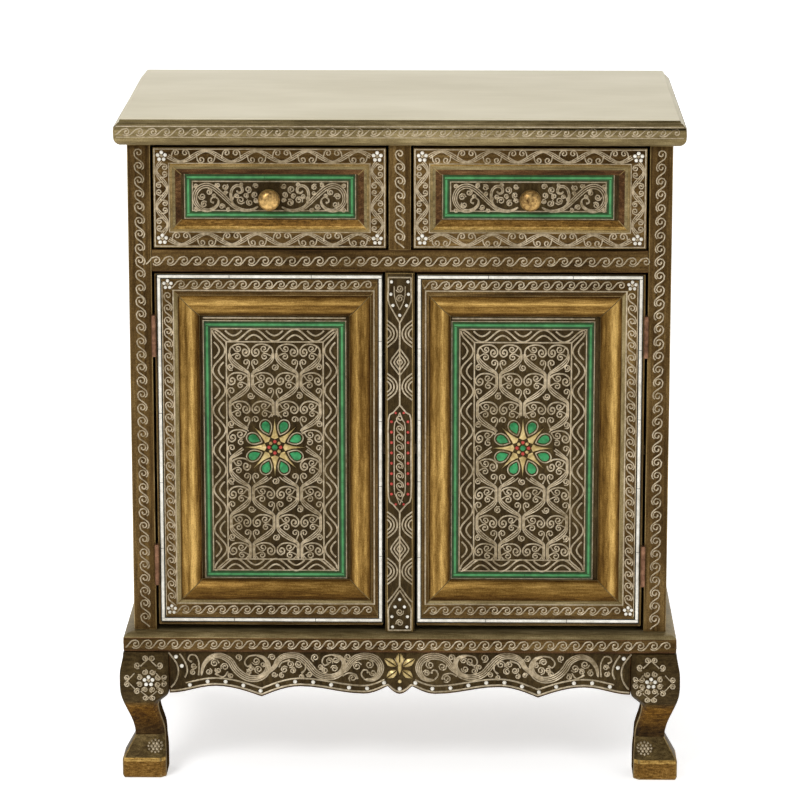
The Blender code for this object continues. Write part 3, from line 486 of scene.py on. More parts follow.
for side in sides:
    carrier = f"{side}_drawer"
    low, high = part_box(f"{side}_drawer_front")
    slopeCuts = []
    for place, direction in ((low, 1), (high, -1)):
        slopeCuts.append(((place.x + direction * drawer["bright"], 0, 0), (1, 0, 0)))
        slopeCuts.append(((0, 0, place.z + direction * drawer["bright"]), (0, 0, 1)))
    dress(f"{side}_drawer_front", carrier, drawer["finishes"], drawer["edge"], paintDrawerFront,
          cuts=slopeCuts)
    for member, finish in drawer["box"].items():
        dress(f"{side}_drawer_{member}", carrier, (finish,), drawer["edge"])
print("drawers dressed")


# ornament: raised lines, inlaid bars, beads and petals drawn flat, then laid on their faces

paints = {  # finish, roundness of a drawn line and how far it is flattened
    "raised_scrolls": ("silverLine", 0, 0.85), "white_inlay": ("ivory", 1, 0.50),
    "white_beads": ("ivory", 1, 0.70), "green_inlay": ("greenCore", 1, 0.60),
    "green_edges": ("greenShadeSide", 0, 0.22), "green_drops": ("green", 1, 0.50),
    "gold_petals": ("petalGold", 1, 0.60), "red_beads": ("red", 1, 0.60), "dark_grooves": ("groove", 0, 0.10),
}
scroll = {"width": 0.0016, "fine": 0.0014, "ball": 1.45, "scrap": 5}
ornament = {}


def onFront(depth):
    return lambda u, v, h: (u, depth - h, v)


def onSide(reach, turn):
    return lambda u, v, h: (turn * (reach + h), turn * u, v)


def onShapes(*pieces):  # follows curved fronts, seen straight from the front
    graph = bpy.context.evaluated_depsgraph_get()
    trees = [BVHTree.FromObject(piece, graph) for piece in pieces]

    def place(u, v, h):
        hits = [tree.ray_cast(Vector((u, -1.0, v)), Vector((0.0, 1.0, 0.0)))[0] for tree in trees]
        depths = [hit.y for hit in hits if hit]
        if not depths:
            depths = [trees[0].find_nearest(Vector((u, faceY - 0.01, v)))[0].y]
        return u, min(depths) - h, v
    return place


plinthLow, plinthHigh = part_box("base_board")
faces = {
    "face": onFront(faceY), "stile": onFront(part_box("centre_stile")[0].y),
    "apron": onFront(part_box("front_apron")[0].y), "plinth": onFront(plinthLow.y),
    "doorPanel": onFront(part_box("left_door_panel")[0].y), "drawerPanel": onFront(sunkY),
    "topEdge": onShapes(dressed["top_board"]),
}
for side, turn in sides.items():
    faces[side + "Plinth"] = onSide(plinthHigh.x, turn)
    faces[side + "Top"] = onSide(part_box("top_board")[1].x, turn)
    faces[side + "Leg"] = onShapes(dressed[f"front_{side}_leg"], dressed["front_apron"])


def sheet(body, face, flip=1, keepOff=(), move=0.0, bottom=0.0):
    return {"body": body, "face": face, "flip": flip, "keepOff": keepOff, "move": move, "bottom": bottom}


def marks(page, paint):
    key = (page["body"], paint, page["face"])
    return ornament.setdefault(key, {"lines": [], "beads": [], "domes": []})


def isClear(page, point):
    apart = [math.hypot(point[0] - u, point[1] - v) > reach for u, v, reach in page["keepOff"]]
    return point[1] > page["bottom"] and all(apart)


def placed(page, point):
    return page["flip"] * (point[0] + page["move"]), point[1]


def line(page, points, width=scroll["width"], paint="raised_scrolls", ball=False):
    run = []
    for i, point in enumerate([*points, None]):
        if point and isClear(page, point):
            isBall = ball and i >= len(points) - 2
            run.append((*placed(page, point), width / 2 * (scroll["ball"] if isBall else 1.0)))
            continue
        if len(run) > (1 if len(run) == len(points) else scroll["scrap"]):  # cut-off scraps are left out
            marks(page, paint)["lines"].append(run)
        run = []


def stroke(page, points, width=scroll["fine"]):  # ends in a small ball
    line(page, points, width, ball=True)


def bead(page, point, radius, paint="white_beads"):
    marks(page, paint)["beads"].append((*placed(page, point), radius))


def dome(page, outline, height, paint):
    marks(page, paint)["domes"].append(([placed(page, point) for point in outline], height))


def smooth(points, steps=3):  # a curve through the points
    path = []
    for i in range(len(points) - 1):
        a, b, c, d = (points[max(0, min(len(points) - 1, i + k))] for k in (-1, 0, 1, 2))
        for step in range(steps):
            t = step / steps
            path.append(tuple(
                0.5 * (2 * b[k] + (c[k] - a[k]) * t + (2 * a[k] - 5 * b[k] + 4 * c[k] - d[k]) * t**2
                       + (3 * b[k] - a[k] - 3 * c[k] + d[k]) * t**3) for k in (0, 1)))
    return path + [points[-1]]


def mirrored(turn, points):
    return [(turn * x, z) for x, z in points]


def fromMillimetres(points, turn, middle=(0.0, 0.0), stretch=1.0):  # from a middle, mirrored by the turn
    return [(middle[0] + turn * stretch * x / 1000, middle[1] + z / 1000) for x, z, *size in points]


def polar(centre, reach, angle, squash=1.0):
    return centre[0] + reach * math.cos(angle), centre[1] + squash * reach * math.sin(angle)


def turned(centre, angle, ahead, aside):
    cos, sin = math.cos(angle), math.sin(angle)
    return centre[0] + cos * ahead - sin * aside, centre[1] + sin * ahead + cos * aside


def beside(points, distances):  # the same path, moved to its left
    moved = []
    for i, (u, v) in enumerate(points):
        before, after = points[max(i - 1, 0)], points[min(i + 1, len(points) - 1)]
        run, rise = after[0] - before[0], after[1] - before[1]
        length = math.hypot(run, rise) or 1.0
        moved.append((u - rise / length * distances[i], v + run / length * distances[i]))
    return moved


def ribbon(page, path, strands, gap, width, spread=None):  # strands that meet at both ends
    spread = spread or [max(0.0, math.sin(math.pi * i / (len(path) - 1))) ** 0.6 for i in range(len(path))]
    for k in range(strands):
        offset = (k - (strands - 1) / 2) * gap
        line(page, beside(path, [offset * share for share in spread]), width)


def spiral(centre, radius, start, turns=1.3, hand=1, count=11):
    path = []
    for i in range(count):
        share = i / (count - 1)
        angle = math.radians(start) + hand * share * turns * 2 * math.pi
        path.append(polar(centre, radius * (1 - 0.78 * share), angle))
    return path


def curl(page, root, centre, radius, hand):  # a stem that winds into a spiral
    angle = math.degrees(math.atan2(root[1] - centre[1], root[0] - centre[0])) + 55 * hand
    stroke(page, [root] + spiral(centre, radius, angle, 1.25, hand))


def nest(page, curls, centres, turn, grow=1.0):  # loose spirals with a short tail
    for i, (place, centre) in enumerate(zip(curls, centres)):
        size = grow * place[2] / 1000
        hand = turn if i % 2 else -turn
        stroke(page, spiral(centre, size * random.uniform(0.94, 1.06), 70 * i, 1.5, hand, 12))


def frameOf(start, end, hand=1):  # turns places along and across a band into places on the sheet
    run, rise = end[0] - start[0], end[1] - start[1]
    length = math.hypot(run, rise)
    run, rise = run / length, rise / length
    return length, lambda s, t: (start[0] + run * s - rise * hand * t, start[1] + rise * s + run * hand * t)


def flower(page, centre, reach, size):
    for i in range(5):
        bead(page, polar(centre, reach, math.radians(90 + 72 * i)), size)
    line(page, spiral(centre, reach * 0.40, 0, 1.0, 1, 7), scroll["fine"])


def cornersOf(low, high):
    return [low, (high[0], low[1]), high, (low[0], high[1])]


def sidesOf(low, high):
    corners = cornersOf(low, high)
    return zip(corners, corners[1:] + corners[:1])


def inset(low, high, by):
    return (low[0] + by, low[1] + by), (high[0] - by, high[1] - by)


def lineFrame(page, low, high, width=scroll["fine"], paint="raised_scrolls"):
    for start, end in sidesOf(low, high):
        length, put = frameOf(start, end)
        line(page, [put(-width / 2, 0), put(length / 2, 0), put(length + width / 2, 0)], width, paint)


def inlayFrame(page, low, high, width, paint, joint, gap=0.0006):  # bars laid end to end with fine joints
    for start, end in sidesOf(low, high):
        length, put = frameOf(start, end)
        reach = width / 2 if start[1] == end[1] else -width / 2  # level bars run through at the corners
        count = max(1, round((length + 2 * reach) / joint))
        step = (length + 2 * reach) / count
        cuts = [-reach + (i + random.uniform(-0.12, 0.12) * (0 < i < count)) * step for i in range(count + 1)]
        for a, b in zip(cuts, cuts[1:]):
            a, b = a + gap / 2, b - gap / 2
            line(page, [put(a, 0), put((2 * a + b) / 3, 0), put((a + 2 * b) / 3, 0), put(b, 0)], width, paint)


green = {"width": 0.0033, "edges": 0.0034, "gap": 0.0004, "inside": 0.0046, "innerLine": 0.0013}


def greenFrame(page, low, high, joint):  # green bars between dark green edges, painted shade on the sides of each rounded bar
    lineFrame(page, low, high, green["width"] + green["edges"], "green_edges")
    inlayFrame(page, low, high, green["width"], "green_inlay", joint, green["gap"])


# running vines on the face frame, the plinth and the top's edge

vine = {
    "tail": [(-0.64, -0.62), (-0.54, -0.92), (-0.36, -1.02), (-0.17, -0.86), (-0.02, -0.45), (0.11, 0.05),
             (0.25, 0.58)],  # from under the spiral before it
    "post": (0.0150, 0.0054), "rail": (0.0148, 0.0050), "plinth": (0.0145, 0.0051),  # pitch and half width
    "top": (0.0148, 0.0042), "topLine": 0.0009, "lineGap": 0.0058,
    "railEnd": 0.274, "plinthEnd": 0.302, "topEnd": 0.304, "lineEnd": 0.306,  # from the middle
    "plinthSide": (-0.178, 0.182), "topSide": (-0.180, 0.186),  # along the ends
    "edgeZ": 0.7307, "sideZ": 0.7293, "plinthDrop": 0.0019,
    "footGap": 0.006, "headGap": 0.003, "railGap": 0.005,
}


def runningVine(page, start, end, pitch, half, width=scroll["fine"], hand=1):
    length, put = frameOf(start, end, hand)
    count = max(1, round(length / pitch))
    step = length / count
    for i in range(count):
        base = (i + random.uniform(-0.04, 0.04)) * step
        rise = half * random.uniform(0.93, 1.04)
        path = [(base + s * step, t * rise) for s, t in vine["tail"][0 if i else 3:]]
        middle = (base + 0.60 * step, 0.0)
        path += [polar(middle, rise * (1.0 - 0.080 * k), math.radians(128 - 44 * k)) for k in range(11)]
        stroke(page, [put(*place) for place in path], width)


postLow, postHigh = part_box("front_left_post")
postX = (postLow.x + postHigh.x) / 2
postFoot, postHead = postLow.z + vine["footGap"], postHigh.z - vine["headGap"]
railLow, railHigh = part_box("mid_rail")
railZ = (railLow.z + railHigh.z) / 2
plinthZ = (plinthLow.z + plinthHigh.z) / 2 - vine["plinthDrop"]
edgeZ = vine["edgeZ"]
bands = [  # face, kind of vine, start, end and hand
    ("face", "post", (postX, postFoot), (postX, postHead), 1),
    ("face", "post", (-postX, postFoot), (-postX, postHead), -1),
    ("face", "rail", (-vine["railEnd"], railZ), (vine["railEnd"], railZ), 1),
    ("face", "post", (0, railHigh.z + vine["railGap"]), (0, postHead), 1),
    ("plinth", "plinth", (-vine["plinthEnd"], plinthZ), (vine["plinthEnd"], plinthZ), 1),
    ("topEdge", "top", (-vine["topEnd"], edgeZ), (vine["topEnd"], edgeZ), 1),
]
for side in sides:  # the same vines carried round the two ends
    for kind, z in (("plinth", plinthZ), ("top", vine["sideZ"])):
        start, end = [(place, z) for place in vine[kind + "Side"]]
        bands.append((side + kind.capitalize(), kind, start, end, 1))
for face, kind, start, end, hand in bands:
    runningVine(sheet("carcass", face), start, end, *vine[kind], hand=hand)
for z in (edgeZ - vine["lineGap"], edgeZ + vine["lineGap"]):
    points = [(share * vine["lineEnd"], z) for share in (-1, 0, 1)]
    line(sheet("carcass", "topEdge"), points, vine["topLine"])
print("vines drawn")


# centre stile

stile = {
    "edge": 0.0138, "block": 0.0124, "ends": (0.5698, 0.1705), "dot": 0.0019, "bow": 0.0016,
    "tongueLine": 0.0011, "stemLine": 0.0017, "spiral": 0.0044, "spiralLine": 0.0012,
    "outlines": [[(0.0124, 0.5698), (0.0124, 0.5560), (0.0124, 0.5440), (0.0074, 0.5325), (0.0, 0.5195)],
                 [(0.0124, 0.1705), (0.0124, 0.1830), (0.0124, 0.1960), (0.0066, 0.2060), (0.0, 0.2165)],
                 [(0.0138, 0.2030), (0.0072, 0.2110), (0.0, 0.2215)]],
    "tongue": [(0.0060, 0.5600), (0.0058, 0.5500), (0.0034, 0.5410), (0.0, 0.5340)],
    "dots": [(0.0090, 0.5650), (0.0096, 0.5513), (0.0074, 0.5388),
             (0.0052, 0.1976), (0.0086, 0.1863), (0.0080, 0.1744)],
    "cartouches": ((0.0124, 0.0, 0.0016), (0.0060, 0.0085, 0.0010)),  # half width, how far in, line
    "reds": [(0.0091, 0.4085 - i * 0.0117, 0.0017) for i in range(8)]
            + [(0.0044, 0.4185, 0.0014), (0.0044, 0.3150, 0.0014)],
    "parts": ((0.5072, 0.4480, 0.4756), (0.2915, 0.2385, 0.2640)),  # bows, and the lozenge between them
    "bows": ((0.0112, 0.0150), (0.0076, 0.0105), (0.0042, 0.0062)),
    "bowShape": [(0.0, -1.0), (0.75, -0.52), (1.0, 0.0), (0.75, 0.52), (0.0, 1.0)],
    "lozenges": (0.0100, 0.0062, 0.0028),
    "lozengeShape": [(0.0, -1.5), (0.6, -0.7), (1.0, 0.0), (0.6, 0.7), (0.0, 1.5)],
    "stems": ((0.4275, 0.5195), (0.2215, 0.3060)),
    "spirals": ((0.5575, 200, 1), (0.5465, 20, 1), (0.1915, 20, -1), (0.1790, 200, -1)),
    "middleDots": (0.5278, 0.2062), "vine": ((0.0, 0.3190), (0.0, 0.4165), 0.0108, 0.0040, 0.0012),
}


def stileHalf(page, turn):
    for z in stile["ends"]:
        line(page, [(0.0, z), (turn * stile["block"], z)])
    for path in stile["outlines"]:
        line(page, smooth(mirrored(turn, path)))
    line(page, smooth(mirrored(turn, stile["tongue"])), stile["tongueLine"])
    for spot in mirrored(turn, stile["dots"]):
        bead(page, spot, stile["dot"])
    for wide, gap, width in stile["cartouches"]:
        path = [(0.0, 0.4275 - gap), (wide * 0.55, 0.4190 - gap), (wide, 0.4115 - gap), (wide, 0.3680),
                (wide, 0.3235 + gap), (wide * 0.55, 0.3145 + gap), (0.0, 0.3060 + gap)]
        line(page, smooth(mirrored(turn, path)), width)
    for x, z, size in stile["reds"]:
        bead(page, (turn * x, z), size, "red_beads")
    for high, low, middle in stile["parts"]:
        for z in (high, low):
            for reach, tall in stile["bows"]:
                bow = [(stile["edge"] - reach * s, z + tall * t) for s, t in stile["bowShape"]]
                line(page, smooth(mirrored(turn, bow)), stile["bow"])
        for size in stile["lozenges"]:
            lozenge = [(size * s, middle + size * t) for s, t in stile["lozengeShape"]]
            line(page, smooth(mirrored(turn, lozenge), 2), stile["bow"])


def drawStile(page):
    for turn in (1, -1):
        stileHalf(page, turn)
    for low, high in stile["stems"]:
        line(page, [(0.0, low), (0.0, (low + high) / 2), (0.0, high)], stile["stemLine"])
    for z, start, hand in stile["spirals"]:
        stroke(page, spiral((0.0, z), stile["spiral"], start, 1.6, hand, 14), stile["spiralLine"])
    for z in stile["middleDots"]:
        bead(page, (0.0, z), stile["dot"])
    runningVine(page, *stile["vine"])


drawStile(sheet("carcass", "stile"))
print("centre stile drawn")


# doors: white inlay, vine bands, green inlay, wave border, hearts and the rosette

wave = {"rise": 0.0068, "end": 0.0018, "width": 0.0018, "bowApex": 0.0005,
        "bowEdge": 0.0053, "bowHalf": 0.0092}


def waveBorder(page, start, end, count):  # a wavy line with a bow in each hollow
    length, put = frameOf(start, end)
    turns = [2 * math.pi * i / 18 for i in range(18 * count + 1)]
    path = [put(length * turn / (2 * math.pi * count), wave["rise"] * math.cos(turn)) for turn in turns]
    line(page, path, wave["width"])
    for i in range(1, 2 * count):
        side = -1 if i % 2 else 1
        apex, edge = side * wave["bowApex"], -side * wave["bowEdge"]
        bow = [(k / 4, apex + (edge - apex) * abs(k / 4) ** 1.7) for k in range(-4, 5)]
        middle = length * i / (2 * count)
        line(page, [put(middle + wave["bowHalf"] * s, height) for s, height in bow], wave["width"])


hearts = {
    "low": (0.0829, 0.2490), "high": (0.1892, 0.4955), "top": 0.4930, "pitch": 0.0322, "rows": 8,
    "bulge": 0.0105, "neck": 0.38, "sway": 0.0113, "edgeSway": 0.86, "curl": 0.0042, "line": 0.0017,
    "strands": (3, 0.0021, 0.0013), "gapIn": 0.0048, "gapDrop": 0.80,
    "lobe": [(1.0, 0.34), (0.98, 0.18), (0.82, 0.06), (0.54, 0.0), (0.25, 0.04), (0.07, 0.18), (0.07, 0.33),
             (0.20, 0.42), (0.35, 0.36), (0.37, 0.24), (0.27, 0.18), (0.17, 0.24), (0.20, 0.32),
             (0.27, 0.29)],
    "curls": [((0.86, 0.10), (0.60, 0.16), -1), ((0.94, 0.42), (0.63, 0.44), 1),
              ((0.16, 0.88), (0.21, 0.64), -1)],  # root, centre and hand
}


def halfHeart(page, x, top, turn, reach):
    def put(place):
        return x + turn * reach * place[0], top - hearts["pitch"] * place[1]

    stroke(page, smooth([put(place) for place in hearts["lobe"]]), hearts["line"])
    for root, centre, hand in hearts["curls"]:
        curl(page, put(root), put(centre), hearts["curl"] * random.uniform(0.92, 1.06), hand * turn)


def drawHearts(page):  # ribbons that sway down the panel, with hearts where they part
    low, high = hearts["low"], hearts["high"]
    sway, neck, pitch = hearts["sway"], hearts["neck"], hearts["pitch"]
    quarter = (high[0] - low[0]) / 4
    steps = [hearts["bulge"] / pitch + i / 14 for i in range(14 * hearts["rows"])]
    bend = [max(0.0, (step % 1 - neck) / (1 - neck)) for step in steps]  # a neck, then a bow to the tip
    spread = [0.42 + 0.63 * math.sin(math.pi * share) for share in bend]
    for column in range(4):
        middle = low[0] + (column + 0.5) * quarter
        turn = 1 if column % 2 else -1
        path = []
        for step, share in zip(steps, bend):
            aside = turn * sway * ((2 * math.cos(share * math.pi / 2) - 1) * (-1) ** int(step))
            if aside * (column - 1.5) > 0 and column in (0, 3):  # clear of the lattice's own line
                aside *= hearts["edgeSway"]
            path.append((middle + aside, hearts["top"] - step * pitch))
        ribbon(page, path, *hearts["strands"], spread)
    for row in range(hearts["rows"]):
        top = hearts["top"] - row * pitch
        for place in range(5):
            x = low[0] + place * quarter
            turns = [turn for turn in (1, -1) if low[0] < x + turn * 0.001 < high[0]]
            if place % 2 == row % 2:  # one spiral in each gap
                inward = 0.0 if len(turns) == 2 else turns[0] * hearts["gapIn"]
                spot = (x + inward, top - hearts["gapDrop"] * pitch)
                stroke(page, spiral(spot, hearts["curl"], 60 * place, 1.5, 1, 12))
                continue
            for turn in turns:
                isShort = (place, turn) in ((1, -1), (3, 1))
                halfHeart(page, x, top, turn, quarter / 2 + sway - (1 - hearts["edgeSway"]) * sway * isShort)


rosette = {
    "centre": (0.1366, 0.3767), "keepOff": 0.0336, "line": 0.0013, "hub": 0.0033, "bead": (0.0064, 0.0021),
    "rayRise": 0.0016, "dropRise": 0.0013,
    "ray": [(0.0092, 0.0), (0.0112, 0.0042), (0.0150, 0.0028), (0.0205, 0.0014), (0.0330, 0.0)],
    "drop": [(0.0178, 0.0), (0.0208, 0.0027), (0.0248, 0.0047), (0.0284, 0.0043), (0.0308, 0.0019)],
    "rim": [(0.0152, 0.0), (0.0196, 0.0041), (0.0246, 0.0062), (0.0294, 0.0056), (0.0328, 0.0024)],
}


def drawRosette(page):
    centre = rosette["centre"]

    def closed(half, angle):
        outline = half + [(ahead, -aside) for ahead, aside in reversed(half) if aside > 0]
        return [turned(centre, angle, *place) for place in outline]

    for i in range(8):
        angle = math.radians(45 * i)
        dome(page, closed(rosette["ray"], angle), rosette["rayRise"], "gold_petals")
        reach, size = rosette["bead"]
        bead(page, turned(centre, angle, reach, 0.0), size, ("red_beads", "gold_petals")[i % 2])
        angle += math.radians(22.5)
        dome(page, closed(rosette["drop"], angle), rosette["dropRise"], "green_drops")
        rim = closed(rosette["rim"], angle)
        line(page, smooth(rim + rim[:1]), rosette["line"])
    bead(page, centre, rosette["hub"], "green_drops")


doorBand = {
    "whiteLow": (0.0213, 0.1808), "whiteHigh": (0.2629, 0.5695), "white": 0.0034, "groove": 0.0022,
    "joint": 0.075, "outerWidth": 0.0009,
    "x": 0.2533, "top": 0.5606, "bottom": 0.1925, "start": 0.0290, "clear": 0.007, "vine": (0.0134, 0.0046),
    "flower": (0.0040, 0.0020), "innerLow": (0.0282, 0.1995), "innerHigh": (0.2474, 0.5540),
    "outerLine": [(0.2594, 0.186), (0.2594, 0.37), (0.2594, 0.563)],
}
doorPanel = {
    "low": (0.0622, 0.2318), "high": (0.2101, 0.5148), "joint": 0.090, "outside": 0.0042, "lintel": 0.0075,
    "mitre": (0.0125, 0.0115), "sideWaves": 6, "endWaves": 3,
    "outsideLine": 0.0010, "lintelLine": 0.0017, "latticeLine": 0.0015,
    "move": {"left": 0.0012, "right": -0.0012},  # the painted work isn't quite in the middle
}


def drawDoorBand(page, flip):
    white = doorBand["whiteLow"], doorBand["whiteHigh"]
    # a dark band under the white inlay, painted shade round the raised bars
    lineFrame(page, *white, doorBand["white"] + doorBand["groove"], "dark_grooves")
    inlayFrame(page, *white, doorBand["white"], "white_inlay", doorBand["joint"])
    x, low, high, clear = doorBand["x"], doorBand["bottom"], doorBand["top"], doorBand["clear"]
    runningVine(page, (x, low + clear), (x, high - clear), *doorBand["vine"], hand=flip)
    for z in (high, low):
        ends = [(doorBand["start"], z), (x - clear, z)]
        runningVine(page, *ends[::flip], *doorBand["vine"], hand=flip)
        flower(page, (x, z), *doorBand["flower"])
    lineFrame(page, doorBand["innerLow"], doorBand["innerHigh"])
    line(page, doorBand["outerLine"], doorBand["outerWidth"])


def drawDoorPanel(page):
    low, high = doorPanel["low"], doorPanel["high"]
    outer, inner = inset(low, high, green["inside"]), (hearts["low"], hearts["high"])
    lintelLow, lintelHigh = inset(low, high, -doorPanel["outside"])
    lineFrame(page, lintelLow, lintelHigh, doorPanel["outsideLine"])
    lintel = (lintelLow[0], rosette["centre"][0], lintelHigh[0])
    line(page, [(u, high[1] + doorPanel["lintel"]) for u in lintel], doorPanel["lintelLine"])
    greenFrame(page, low, high, doorPanel["joint"])
    lineFrame(page, *outer, green["innerLine"])
    lineFrame(page, *inner, doorPanel["latticeLine"])
    (left, bottom), (right, top) = [[(a + b) / 2 for a, b in zip(*pair)] for pair in zip(outer, inner)]
    (endLeft, endLow), (endRight, endTop) = inset(low, high, green["inside"] + wave["end"])
    for start, end in (((left, endLow), (left, endTop)), ((right, endTop), (right, endLow))):
        waveBorder(page, start, end, doorPanel["sideWaves"])
    for start, end in (((endLeft, top), (endRight, top)), ((endRight, bottom), (endLeft, bottom))):
        waveBorder(page, start, end, doorPanel["endWaves"])
    for (x, z), (acrossX, acrossZ) in zip(cornersOf(*inner), cornersOf((-1, -1), (1, 1))):
        line(page, [(x, z), (x + acrossX * doorPanel["mitre"][0], z + acrossZ * doorPanel["mitre"][1])])


for side, flip in sides.items():
    move = doorPanel["move"][side]
    drawDoorBand(sheet(f"{side}_door", "face", flip), flip)
    plain = sheet(f"{side}_door", "doorPanel", flip, move=move)
    drawDoorPanel(plain)
    keepOff = [(*rosette["centre"], rosette["keepOff"])]
    drawHearts(sheet(f"{side}_door", "doorPanel", flip, keepOff, move, hearts["low"][1]))
    drawRosette(plain)
print("doors drawn")


# drawers: scroll border with corner flowers, green inlay and paired scrolls round the knob

drawerBand = {
    "inward": 0.0094, "strands": (3, 0.0018, 0.0011),
    "level": (0.0495, 0.0058, 0.0041), "upright": (0.0400, 0.0058, 0.0034),  # wave, rise and curl
    "levelClear": 0.007, "uprightClear": 0.006, "flower": (0.0042, 0.0022),
    "outerLine": (0.0015, 0.0014), "innerLine": (0.0172, 0.0010),  # how far in, and width
}
drawerPanel = {
    "low": (0.0512, 0.6370), "high": (0.2290, 0.6783), "joint": 0.095, "outside": 0.0040, "knob": 0.0092,
    "ribbonStrands": (3, 0.0023, 0.0012), "hookStrands": (2, 0.0019, 0.0014), "outsideLine": 0.0009,
    "move": {"left": 0.0008, "right": -0.0008},
    "ribbon": [(13.0, -10.5), (19.5, -14.0), (27.5, -14.6), (36.5, -11.8), (43.0, -6.4), (48.5, -0.9),
               (54.0, 4.4), (60.5, 9.8), (68.0, 12.8), (75.5, 10.8), (80.5, 4.8), (81.5, -3.5), (77.5, -10.6),
               (70.5, -14.6), (62.5, -13.5), (56.5, -8.2), (55.8, -2.7)],  # millimetres from the knob
    "tail": [(55.8, -2.7), (59.5, 0.2), (63.5, -1.6), (64.0, -5.2), (60.8, -6.2)],
    "hook": [(36.0, -12.4), (40.5, -6.4), (42.3, 1.4), (40.8, 8.8), (36.0, 12.6), (30.8, 11.2), (29.8, 6.4),
             (33.4, 4.6), (36.0, 7.0)],
    "curls": [(73.6, 0.7, 4.0), (66.0, 5.6, 3.6), (71.5, -8.0, 3.8), (31.5, -3.2, 4.6), (23.5, 8.4, 4.2),
              (15.2, 12.2, 3.2), (22.0, -6.0, 4.0), (48.5, 11.2, 3.6), (52.0, -10.4, 3.4), (16.2, 2.6, 3.6),
              (80.5, 12.4, 2.6), (80.5, -14.0, 2.6), (45.2, -14.0, 2.6), (15.0, -3.6, 2.8), (26.0, 1.6, 3.0),
              (36.0, 1.0, 2.8), (56.5, 13.2, 2.8), (41.5, -1.5, 2.2), (48.0, 4.6, 2.6), (60.5, 1.5, 2.4),
              (31.0, 14.0, 2.2)],
}


def waveVine(page, start, end, pitch, rise, curlSize):  # a wavy ribbon with two spirals in each hollow
    length, put = frameOf(start, end)
    count = max(1, round(length / pitch))
    pitch = length / count
    turns = [2 * math.pi * i / 16 for i in range(16 * count + 1)]
    path = [put(i * pitch / 16, rise * math.sin(turn)) for i, turn in enumerate(turns)]
    ribbon(page, path, *drawerBand["strands"], [0.35 + 0.75 * abs(math.cos(turn)) for turn in turns])
    for i in range(2 * count):
        middle = (i + 0.5) * pitch / 2
        side = -1 if i % 2 == 0 else 1
        for lean in (-1, 1):
            centre = (middle + lean * 0.092 * pitch, side * (curlSize * 1.05 - 0.10 * rise))
            root = (middle + lean * 0.19 * pitch, -side * rise * 0.30)
            curl(page, put(*root), put(*centre), curlSize * random.uniform(0.93, 1.05), lean * side)


def drawDrawerBand(page, outline):
    inward, width = drawerBand["outerLine"]
    lineFrame(page, *inset(*outline, inward), width)
    low, high = inset(*outline, drawerBand["inward"])
    (u0, v0), (u1, v1) = low, high
    across, up = drawerBand["levelClear"], drawerBand["uprightClear"]
    for start, end in (((u0 + across, v0), (u1 - across, v0)), ((u1 - across, v1), (u0 + across, v1))):
        waveVine(page, start, end, *drawerBand["level"])
    for start, end in (((u1, v0 + up), (u1, v1 - up)), ((u0, v1 - up), (u0, v0 + up))):
        waveVine(page, start, end, *drawerBand["upright"])
    for corner in cornersOf(low, high):
        flower(page, corner, *drawerBand["flower"])
    inward, width = drawerBand["innerLine"]
    lineFrame(page, *inset(*outline, inward), width)


def drawDrawerPanel(page):
    low, high = drawerPanel["low"], drawerPanel["high"]
    greenFrame(page, low, high, drawerPanel["joint"])
    lineFrame(page, *inset(low, high, -drawerPanel["outside"]), drawerPanel["outsideLine"])
    lineFrame(page, *inset(low, high, green["inside"]), green["innerLine"])


def drawDrawerScrolls(page, middle):
    for turn in (1, -1):
        path, tail, hook, curls = [fromMillimetres(drawerPanel[name], turn, middle)
                                   for name in ("ribbon", "tail", "hook", "curls")]
        ribbon(page, smooth(path), *drawerPanel["ribbonStrands"])
        stroke(page, smooth(tail), scroll["width"])
        ribbon(page, smooth(hook), *drawerPanel["hookStrands"])
        nest(page, drawerPanel["curls"], curls, turn)


frontLow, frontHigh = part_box("right_drawer_front")
knobLow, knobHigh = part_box("right_drawer_knob")
knobMiddle = ((knobLow.x + knobHigh.x) / 2, (knobLow.z + knobHigh.z) / 2)
for side, flip in sides.items():
    outline = ((frontLow.x, frontLow.z), (frontHigh.x, frontHigh.z))
    drawDrawerBand(sheet(f"{side}_drawer", "face", flip), outline)
    drawDrawerPanel(sheet(f"{side}_drawer", "drawerPanel", flip, move=drawerPanel["move"][side]))
    page = sheet(f"{side}_drawer", "drawerPanel", flip, [(*knobMiddle, drawerPanel["knob"])])
    drawDrawerScrolls(page, knobMiddle)
print("drawers drawn")


# apron: a long scrolled ribbon, scalloped double line with beads and the lily in the middle

